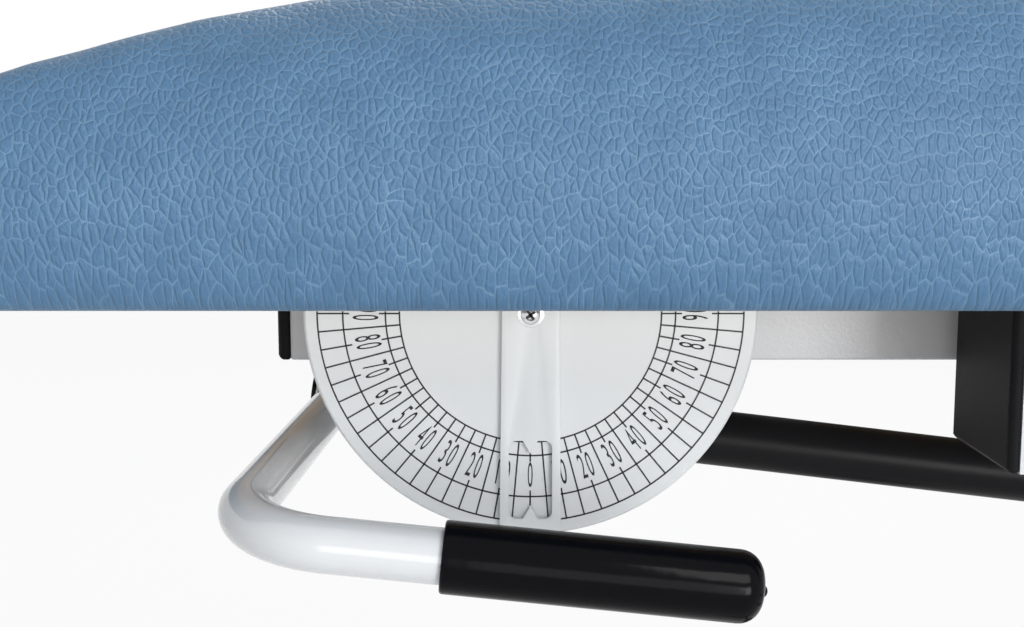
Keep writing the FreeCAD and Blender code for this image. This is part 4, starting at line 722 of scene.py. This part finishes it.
def turn_under(part, cad_board, body):
    """The turned strip of vinyl under one board, and the staples along it."""
    low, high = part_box(cad_board)
    middle = (low[0] + high[0]) / 2
    fresh()
    bpy.ops.mesh.primitive_plane_add(size=1, location=(middle, 0, low[2]))
    strip = bpy.context.object
    strip.scale = (high[0] - low[0] + STRIP_PROUD, high[1] - low[1] + STRIP_PROUD, 1)
    bpy.ops.object.transform_apply(location=True, rotation=False, scale=True)
    bpy.ops.object.mode_set(mode="EDIT")
    bpy.ops.mesh.select_all(action="SELECT")
    bpy.ops.mesh.bevel(offset=STRIP_PROUD, segments=6, affect="VERTICES")
    bpy.ops.mesh.select_all(action="SELECT")
    bpy.ops.mesh.inset(thickness=STRIP_WIDE)
    bpy.ops.mesh.delete(type="FACE")
    bpy.ops.object.mode_set(mode="OBJECT")
    cloth = strip.modifiers.new("vinyl_thickness", "SOLIDIFY")
    cloth.thickness = COVER_THICK
    cloth.offset = -1
    bpy.ops.object.modifier_apply(modifier="vinyl_thickness")
    settle(strip, part + "_cover_turn", vinyl, body)
    wires = []
    floor_z = low[2] - COVER_THICK
    half = (high[0] - low[0]) / 2 - STAPLE_INSET
    wide = high[1] - STAPLE_INSET
    along = int(2 * (half - CORNER_CLEAR) / STAPLE_STEP)
    across = int(2 * (wide - CORNER_CLEAR) / STAPLE_STEP)
    for side in (-1, 1):
        for step in range(along + 1):
            x = middle + (step / along * 2 - 1) * (half - CORNER_CLEAR)
            wires.append(copy_at(staple, (x, side * wide, floor_z),
                                 (0, 0, math.radians(11 * math.sin(7.3 * step + side)))))
        for step in range(across + 1):
            y = (step / across * 2 - 1) * (wide - CORNER_CLEAR)
            wires.append(copy_at(staple, (middle + side * half, y, floor_z),
                                 (0, 0, math.radians(90 + 11 * math.sin(5.1 * step + side)))))
    settle(joined(wires), part + "_staples", staple_wire, body)


turn_under("backrest", "backrest_board", "backrest")
turn_under("leg", "leg_board", "main_frame")
bpy.data.objects.remove(staple)


# Goniometer: dial plate, printed scale, plumb pointer and its screw.
# A white plastic plate with a printed half-circle scale. A windowed pointer hangs on a
# plated screw at the centre and stays plumb, so it shows how far the backrest is raised.
dial_white = skinned("dial_plastic", (0.71, 0.73, 0.735), 0.33, tone=0.02, grain=900.0,
                     depth=0.00003, coat=0.15)
pointer_white = skinned("pointer_plastic", (0.72, 0.745, 0.75), 0.3, tone=0.02, grain=900.0,
                        depth=0.00003, coat=0.1)
finish_nodes(dial_white, "dial")
finish_nodes(pointer_white, "pointer")
soften_edges(0.0008, "dial")
soften_edges(0.0009, "pointer")
# Black print ink of the scale. The same finish also makes the painted shade in the pointer screw's
# recess.
print_ink_and_recess_shade = skinned("scale_ink_and_recess_shade", (0.008, 0.008, 0.009), 0.5, tone=0.2, grain=2500.0, depth=0.00002)

DIAL_CENTRE = Vector((-0.726, -0.250, 0.686))
SCALE_RADIUS = 0.090
INK_THICK = 0.00012
LINE_WIDE = 0.00068
CIRCLE_SHARES = (1.0, 0.88, 0.68, 0.614)
ONE_DIGIT_WIDE = 0.0021
TWO_DIGITS_WIDE = 0.0056
DIGIT_HIGH = 0.0110


def scale_ring(radius):
    """One printed circle below the dial's centre: a ring of ink cut off at the centre line."""
    fresh()
    bpy.ops.mesh.primitive_circle_add(vertices=180, radius=radius - LINE_WIDE / 2,
                                      fill_type="NOTHING")
    ring = bpy.context.object
    bpy.ops.object.mode_set(mode="EDIT")
    bpy.ops.mesh.select_all(action="SELECT")
    bpy.ops.mesh.extrude_edges_move()
    grow = (radius + LINE_WIDE / 2) / (radius - LINE_WIDE / 2)
    bpy.ops.transform.resize(value=(grow, grow, 1))
    bpy.ops.mesh.select_all(action="SELECT")
    bpy.ops.mesh.bisect(plane_co=(0, 0.0009, 0), plane_no=(0, 1, 0), clear_outer=True)
    bpy.ops.object.mode_set(mode="OBJECT")
    return ring


def scale_line(start, end, degrees):
    """One printed ray from start to end along a radius, degrees from straight down."""
    fresh()
    bpy.ops.mesh.primitive_plane_add(size=1, location=(0, -(start + end) / 2, 0))
    line = bpy.context.object
    line.scale = (LINE_WIDE, end - start, 1)
    bpy.ops.object.transform_apply(location=True, rotation=False, scale=True)
    line.rotation_euler = (0, 0, math.radians(degrees))
    bpy.ops.object.transform_apply(location=False, rotation=True, scale=False)
    return line


inner, middle, wide_ring, outer = (SCALE_RADIUS * share for share in CIRCLE_SHARES[::-1])
tick = SCALE_RADIUS * 0.03
lines = [scale_ring(SCALE_RADIUS * share) for share in CIRCLE_SHARES]
for angle in range(-90, 91, 5):
    if angle % 10:
        lines.append(scale_line(inner, outer, angle))
    else:
        lines.append(scale_line(inner, middle + tick, angle))
        lines.append(scale_line(wide_ring - tick, outer, angle))
scale_print = joined(lines)
numbers = []
for angle in range(-90, 91, 10):
    fresh()
    bpy.ops.object.text_add()
    number = bpy.context.object
    number.data.body = str(abs(angle))
    number.data.align_x = "CENTER"
    number.data.align_y = "CENTER"
    number.data.size = 0.02
    number.data.space_character = 1.3
    number.data.offset = -0.00002
    number.data.resolution_u = 4
    bpy.ops.object.convert(target="MESH")
    number = bpy.context.object
    digits_wide = TWO_DIGITS_WIDE if angle else ONE_DIGIT_WIDE
    number.scale = (digits_wide / number.dimensions.x, DIGIT_HIGH / number.dimensions.y, 1)
    number.location = (0, -SCALE_RADIUS * 0.78, 0)
    bpy.ops.object.transform_apply(location=True, rotation=False, scale=True)
    number.rotation_euler = (0, 0, math.radians(angle))
    bpy.ops.object.transform_apply(location=False, rotation=True, scale=False)
    numbers.append(number)
number_print = joined(numbers)
for printed, name in ((scale_print, "dial_scale_lines"), (number_print, "dial_numbers")):
    pick(printed)
    bpy.ops.object.mode_set(mode="EDIT")
    bpy.ops.mesh.select_all(action="SELECT")
    bpy.ops.mesh.remove_doubles(threshold=0.000001)
    bpy.ops.mesh.extrude_region_move(TRANSFORM_OT_translate={"value": (0, 0, INK_THICK)})
    bpy.ops.mesh.select_all(action="SELECT")
    bpy.ops.mesh.normals_make_consistent(inside=False)
    bpy.ops.object.mode_set(mode="OBJECT")
    printed.rotation_euler = (math.radians(90), 0, 0)
    printed.location = DIAL_CENTRE
    settle(printed, name, print_ink_and_recess_shade, "backrest")


# Screw of the plumb pointer.
# A plated washer and a pan-head screw with a cross recess, turned and pressed bright.
bright_plate = skinned("bright_zinc", (0.72, 0.73, 0.74), 0.2, tone=0.1, spread=0.1,
                       grain=1800.0, depth=0.00003, metal=1.0)
SCREW_SEAT = (DIAL_CENTRE.x, -0.2531, DIAL_CENTRE.z)
fresh()
bpy.ops.mesh.primitive_cylinder_add(vertices=64, radius=0.0057, depth=0.0012,
                                    location=(0, 0, 0.0006))
washer = bpy.context.object
break_edges(0.00025, 3)
fresh()
bpy.ops.mesh.primitive_uv_sphere_add(segments=48, ring_count=24, radius=0.0043)
head = bpy.context.object
head.scale = (1, 1, 0.6)
bpy.ops.object.transform_apply(location=False, rotation=False, scale=True)
bpy.ops.object.mode_set(mode="EDIT")
bpy.ops.mesh.select_all(action="SELECT")
bpy.ops.mesh.bisect(plane_co=(0, 0, 0), plane_no=(0, 0, 1), clear_inner=True, use_fill=True)
bpy.ops.object.mode_set(mode="OBJECT")
head.location = (0, 0, 0.0011)
# Black bars at the bottom of the cross recess are painted shade: a dark sheet placed where the
# recess lies only in shadow.
recess_shade_bars = []
for turn in (35, 125):
    fresh()
    bpy.ops.mesh.primitive_cube_add(size=1, location=(0, 0, 0.0028))
    recess_shade_bar = bpy.context.object
    recess_shade_bar.scale = (0.0048, 0.0012, 0.0004)
    recess_shade_bar.rotation_euler = (0, 0, math.radians(turn))
    recess_shade_bars.append(recess_shade_bar)
    fresh()
    bpy.ops.mesh.primitive_cube_add(size=1, location=(0, 0, 0.0040))
    blade = bpy.context.object
    blade.scale = (0.0052, 0.0013, 0.0028)
    blade.rotation_euler = (0, 0, math.radians(turn))
    cut_recess(head, blade)
screw = joined([head, washer])
screw.rotation_euler = (math.radians(90), 0, 0)
screw.location = SCREW_SEAT
pick(screw)
bpy.ops.object.shade_smooth_by_angle(angle=math.radians(35))
settle(screw, "pointer_pivot_screw", bright_plate, "backrest")
recess_shade = joined(recess_shade_bars)
pick(recess_shade)
bpy.ops.object.transform_apply(location=True, rotation=True, scale=True)
recess_shade.rotation_euler = (math.radians(90), 0, 0)
recess_shade.location = SCREW_SEAT
settle(recess_shade, "pointer_screw_recess_shade", print_ink_and_recess_shade, "backrest")
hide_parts("pointer_screw")


# Release lever and its grip.
# Bent steel tube in gloss white enamel on a hub round the strut's neck. The grip is a black
# vinyl sleeve, dipped on hot, with a domed end and a small nib where the dip ran off.
enamel = skinned("gloss_white_enamel", (0.70, 0.715, 0.73), 0.14, tone=0.03, spread=0.05,
                 grain=260.0, depth=0.00006, coat=0.6, coat_roughness=0.03)
finish_nodes(enamel, "release_lever")
grip_black = skinned("dipped_black_vinyl", (0.003, 0.003, 0.004), 0.15, tone=0.2, spread=0.06,
                     grain=150.0, depth=0.00008, specular=0.07)
GRIP_TIP = Vector((-0.6420, -0.335, 0.5951))
GRIP_DROOP = math.radians(5.87)
GRIP_LONG = 0.1180
GRIP_RADIUS = 0.0135
fresh()
bpy.ops.mesh.primitive_cylinder_add(vertices=64, radius=GRIP_RADIUS, depth=GRIP_LONG,
                                    location=(0, 0, -GRIP_LONG / 2))
grip = bpy.context.object
bpy.ops.object.transform_apply(location=True, rotation=False, scale=False)
for z_end, round_off, steps in ((0.0, 0.0088, 8), (-GRIP_LONG, 0.0012, 3)):
    bpy.ops.object.mode_set(mode="OBJECT")
    bpy.ops.object.mode_set(mode="EDIT")
    bpy.ops.mesh.select_mode(type="VERT")
    bpy.ops.mesh.select_all(action="DESELECT")
    bpy.ops.object.mode_set(mode="OBJECT")
    for vertex in grip.data.vertices:
        vertex.select = abs(vertex.co.z - z_end) < 0.00001
    bpy.ops.object.mode_set(mode="EDIT")
    bpy.ops.mesh.select_mode(type="EDGE")
    bpy.ops.mesh.bevel(offset=round_off, segments=steps, affect="EDGES")
bpy.ops.object.mode_set(mode="OBJECT")
fresh()
bpy.ops.mesh.primitive_uv_sphere_add(segments=24, ring_count=12, radius=0.0026,
                                     location=(0.0010, 0, -0.0002))
nib = bpy.context.object
nib.scale = (1, 1, 0.9)
bpy.ops.object.transform_apply(location=True, rotation=False, scale=True)
grip = joined([grip, nib])
pick(grip)
bpy.ops.object.shade_smooth_by_angle(angle=math.radians(40))
grip.rotation_euler = (0, math.radians(90) + GRIP_DROOP, 0)
grip.location = GRIP_TIP
settle(grip, "lever_grip_sleeve", grip_black, "lever")
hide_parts("lever_grip")


# Gas strut, and the pins and bushes of the pivots.
# A cylinder in satin black paint with a gland at its end and a ground, hard-chromed rod. The
# pins are turned steel and the bushes sintered bronze.
strut_black = skinned("satin_black_paint", (0.010, 0.010, 0.011), 0.34, tone=0.2, spread=0.1,
                      grain=500.0, depth=0.00005, specular=0.08)
finish_nodes(strut_black, "strut_head", "strut_tube", "strut_gland")
ground_rod = skinned("ground_chrome_rod", (0.78, 0.79, 0.80), 0.12, tone=0.05, spread=0.06,
                     grain=2200.0, depth=0.00001, metal=1.0)
finish_nodes(ground_rod, "strut_piston", "ram_piston")
turned_steel = skinned("turned_steel", (0.56, 0.56, 0.57), 0.28, tone=0.1, spread=0.12,
                       grain=1400.0, depth=0.00002, metal=1.0)
finish_nodes(turned_steel, "pivot_pins", "backrest_hinge_pins")
finish_nodes(skinned("sintered_bronze", (0.30, 0.20, 0.09), 0.45, metal=1.0, tone=0.2),
             "pivot_bushes")


# Actuator: motor and gear housing, outer tube and guide.
# Die-cast and moulded black housing on a drawn tube with a satin black coat.
finish_nodes(black_moulding, "ram_motor_unit")
finish_nodes(strut_black, "ram_outer_tube")


# Control box.
# Two moulded grey-black shells with two rubber keys and a mains inlet.
box_grey = skinned("control_box_plastic", (0.045, 0.047, 0.052), 0.5, tone=0.2, spread=0.12,
                   grain=1300.0, depth=0.0002)
finish_nodes(box_grey, "control_box")
finish_nodes(black_moulding, "mains_inlet")
key_print = skinned("key_print", (0.03, 0.03, 0.032), 0.5, tone=0.2, grain=2000.0,
                    depth=0.00003)
key_grey = skinned("rubber_key", (0.42, 0.44, 0.47), 0.55, tone=0.08, grain=1500.0,
                   depth=0.0001)
finish_nodes(key_grey, "button_up", "button_down")
BOX_LOW, BOX_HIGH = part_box("control_box")
BOX_SEAM_HIGH = 0.2034
BOX_SCREW_HIGH = 0.2176
fresh()
box_middle = (BOX_LOW[0] + BOX_HIGH[0]) / 2
bpy.ops.mesh.primitive_plane_add(size=1, location=(box_middle, 0, BOX_SEAM_HIGH))
box_seam = bpy.context.object
box_seam.scale = (BOX_HIGH[0] - BOX_LOW[0] + 0.0006, BOX_HIGH[1] - BOX_LOW[1] + 0.0006, 1)
bpy.ops.object.transform_apply(location=True, rotation=False, scale=True)
bpy.ops.object.mode_set(mode="EDIT")
bpy.ops.mesh.select_all(action="SELECT")
bpy.ops.mesh.bevel(offset=0.008, segments=6, affect="VERTICES")
bpy.ops.mesh.select_all(action="SELECT")
bpy.ops.mesh.extrude_region_move(TRANSFORM_OT_translate={"value": (0, 0, 0.0012)})
bpy.ops.mesh.select_all(action="SELECT")
bpy.ops.mesh.normals_make_consistent(inside=False)
bpy.ops.object.mode_set(mode="OBJECT")
settle(box_seam, "control_box_seam", black_moulding, "base")
fastened("control_box_screws",
         [copy_at(domed_m6, (x, side * 0.083, BOX_SCREW_HIGH))
          for x in (-0.514, -0.428) for side in (-1, 1)], "base")
KEY_FACE, KEY_HIGH = -0.0990, 0.186
for key, x, points_down in (("button_up", -0.493, 0), ("button_down", -0.449, math.pi)):
    fresh()
    bpy.ops.mesh.primitive_cylinder_add(vertices=3, radius=0.0052, depth=0.0008)
    arrow = bpy.context.object
    break_edges(0.0002, 2)
    arrow.rotation_euler = (math.radians(90), points_down, 0)
    arrow.location = (x, KEY_FACE, KEY_HIGH)
    settle(arrow, key + "_arrow", key_print, key)


# Castors.
# Nylon forks and pedals, nylon wheel cores and grey thermoplastic rubber tyres.
tyre_grey = skinned("grey_tyre_rubber", (0.13, 0.13, 0.135), 0.62, tone=0.2, spread=0.15,
                    grain=900.0, depth=0.0002)
pedal_nylon = skinned("brake_pedal_nylon", (0.30, 0.31, 0.32), 0.45, tone=0.12, grain=1200.0)
hub_nylon = skinned("wheel_hub_nylon", (0.40, 0.41, 0.42), 0.42, tone=0.1, grain=900.0,
                    depth=0.00012)
HUB_RADIUS = 0.0215
fresh()
bpy.ops.mesh.primitive_cylinder_add(vertices=48, radius=HUB_RADIUS, depth=0.0012)
hub_disc = bpy.context.object
break_edges(0.0003, 2)
for face in hub_disc.data.polygons:
    face.select = face.normal.z > 0.99 and face.area > 0.0001
bpy.ops.object.mode_set(mode="EDIT")
bpy.ops.mesh.select_mode(type="FACE")
bpy.ops.mesh.inset(thickness=0.0028)
bpy.ops.mesh.inset(thickness=0.0010, depth=-0.0007)
bpy.ops.mesh.inset(thickness=0.0095)
bpy.ops.mesh.inset(thickness=0.0010, depth=0.0008)
bpy.ops.object.mode_set(mode="OBJECT")
spokes = [hub_disc]
for spoke in range(6):
    fresh()
    bpy.ops.mesh.primitive_cube_add(size=1)
    bar = bpy.context.object
    bar.scale = (0.0105, 0.0018, 0.0008)
    bar.location = (0.0125, 0, 0.0002)
    bpy.ops.object.transform_apply(location=True, rotation=False, scale=True)
    bar.data.transform(Matrix.Rotation(math.radians(60 * spoke), 4, "Z"))
    spokes.append(bar)
hub_disc = joined(spokes)
pick(hub_disc)
bpy.ops.object.shade_smooth_by_angle(angle=math.radians(30))
AXLE_SHIFT = 0.026
TRACK_HALF = 0.315
HUB_OUT = 0.0122
FORK_OUT = 0.0190
AXLE_HIGH = 0.040
for end, swivel_x in (("head", -0.541), ("foot", 0.889)):
    for side, y_side in (("front", -1), ("back", 1)):
        key = end + "_" + side
        finish_nodes(black_moulding, "castor_fork_" + key)
        finish_nodes(tyre_grey, "castor_roller_" + key)
        finish_nodes(pedal_nylon, "castor_pedal_" + key)
        axle_x = swivel_x + AXLE_SHIFT
        y_middle = y_side * TRACK_HALF
        hubs = joined([copy_at(hub_disc, (axle_x, y_middle - HUB_OUT, AXLE_HIGH), FRONT),
                       copy_at(hub_disc, (axle_x, y_middle + HUB_OUT, AXLE_HIGH), BACK)])
        settle(hubs, "castor_hubs_" + key, hub_nylon, "roller_" + key)
        fastened("castor_axle_bolt_" + key,
                 [copy_at(bolt_m6, (axle_x, y_middle - FORK_OUT, AXLE_HIGH), FRONT),
                  copy_at(bolt_m6, (axle_x, y_middle + FORK_OUT, AXLE_HIGH), BACK)],
                 "castor_" + key)
bpy.data.objects.remove(hub_disc)
for spare in (bolt_m8, bolt_m6, domed_m6):
    bpy.data.objects.remove(spare)


# Footboard.
# White laminate panel with a plain black rubber mat, screwed to its frame.
laminate = skinned("white_laminate", (0.74, 0.75, 0.76), 0.32, tone=0.03, grain=600.0)
finish_nodes(laminate, "footboard_panel")
mat_rubber = skinned("black_mat_rubber", (0.022, 0.022, 0.023), 0.62, tone=0.25, grain=1100.0,
                     depth=0.0002)
finish_nodes(mat_rubber, "footboard_mat")


# Camera, light and floor.
# The picture is taken from the operator's side, level with the goniometer and close to it.
camera_data = bpy.data.cameras.new("photo_camera")
camera_data.sensor_width = 36.0
camera_data.lens = 46.9
camera_data.clip_start = 0.02
camera = bpy.data.objects.new("photo_camera", camera_data)
camera.location = (-0.7338, -0.808, 0.757)
camera.rotation_euler = (math.radians(82.75), 0, 0)
bpy.context.scene.collection.objects.link(camera)
bpy.context.scene.camera = camera

bpy.ops.object.select_all(action="DESELECT")
bpy.ops.mesh.primitive_plane_add(size=80)
floor = bpy.context.object
floor.name = "studio_floor"


def seen_white(name, tint, glow):
    """Floor paper: white to the eye and in reflections, plain pale paper to the light."""
    paper = bpy.data.materials.new(name)
    paper.use_nodes = True
    tree = paper.node_tree
    shader = tree.nodes["Principled BSDF"]
    shader.inputs["Base Color"].default_value = (*tint, 1)
    shader.inputs["Roughness"].default_value = 0.9
    rays = tree.nodes.new("ShaderNodeLightPath")
    light = tree.nodes.new("ShaderNodeEmission")
    light.inputs["Strength"].default_value = 1.0
    either = math_step(tree, "MAXIMUM")
    any_ray = math_step(tree, "MAXIMUM")
    part = math_step(tree, "MULTIPLY")
    part.inputs[1].default_value = glow
    mix = tree.nodes.new("ShaderNodeMixShader")
    out = tree.nodes["Material Output"]
    tree.links.new(rays.outputs["Is Camera Ray"], either.inputs[0])
    tree.links.new(rays.outputs["Is Glossy Ray"], either.inputs[1])
    tree.links.new(either.outputs[0], any_ray.inputs[0])
    tree.links.new(rays.outputs["Is Transmission Ray"], any_ray.inputs[1])
    tree.links.new(any_ray.outputs[0], part.inputs[0])
    tree.links.new(part.outputs[0], mix.inputs["Fac"])
    tree.links.new(shader.outputs["BSDF"], mix.inputs[1])
    tree.links.new(light.outputs["Emission"], mix.inputs[2])
    tree.links.new(mix.outputs[0], out.inputs["Surface"])
    return paper


floor.data.materials.append(seen_white("studio_paper", (0.82, 0.82, 0.82), 0.92))

world = bpy.data.worlds.new("studio")
bpy.context.scene.world = world
world.use_nodes = True
tree = world.node_tree
room = tree.nodes["Background"]
room.inputs["Color"].default_value = (0.86, 0.9, 0.95, 1)
room.inputs["Strength"].default_value = 0.32
white_wall = tree.nodes.new("ShaderNodeBackground")
white_wall.inputs["Color"].default_value = (1, 1, 1, 1)
white_wall.inputs["Strength"].default_value = 1.0
rays = tree.nodes.new("ShaderNodeLightPath")
either = math_step(tree, "MAXIMUM")
any_ray = math_step(tree, "MAXIMUM")
mix = tree.nodes.new("ShaderNodeMixShader")
tree.links.new(rays.outputs["Is Camera Ray"], either.inputs[0])
tree.links.new(rays.outputs["Is Transmission Ray"], either.inputs[1])
tree.links.new(either.outputs[0], any_ray.inputs[0])
tree.links.new(rays.outputs["Is Glossy Ray"], any_ray.inputs[1])
tree.links.new(any_ray.outputs[0], mix.inputs["Fac"])
tree.links.new(room.outputs[0], mix.inputs[1])
tree.links.new(white_wall.outputs[0], mix.inputs[2])
tree.links.new(mix.outputs[0], tree.nodes["World Output"].inputs["Surface"])


def soft_lamp(name, place, target, wide, power):
    """A square soft box of the given width and watts, aimed at a point of the table."""
    lamp_data = bpy.data.lights.new(name, "AREA")
    lamp_data.shape = "SQUARE"
    lamp_data.size = wide
    lamp_data.energy = power
    lamp = bpy.data.objects.new(name, lamp_data)
    lamp.location = place
    aim = Vector(target) - Vector(place)
    lamp.rotation_euler = aim.to_track_quat("-Z", "Y").to_euler()
    bpy.context.scene.collection.objects.link(lamp)


soft_lamp("key_softbox", (0.4, -2.2, 2.2), (-0.5, -0.25, 0.75), wide=1.1, power=25)
soft_lamp("side_softbox", (1.2, -3.8, 0.7), (-0.6, -0.25, 0.64), wide=1.3, power=66)
soft_lamp("back_softbox", (-0.2, 2.2, 2.6), (-0.5, 0, 0.8), wide=2.0, power=34)
soft_lamp("front_softbox", (-0.5, -3.4, 0.4), (-0.5, 0, 0.6), wide=2.0, power=28)
bpy.context.scene.view_settings.view_transform = "Standard"
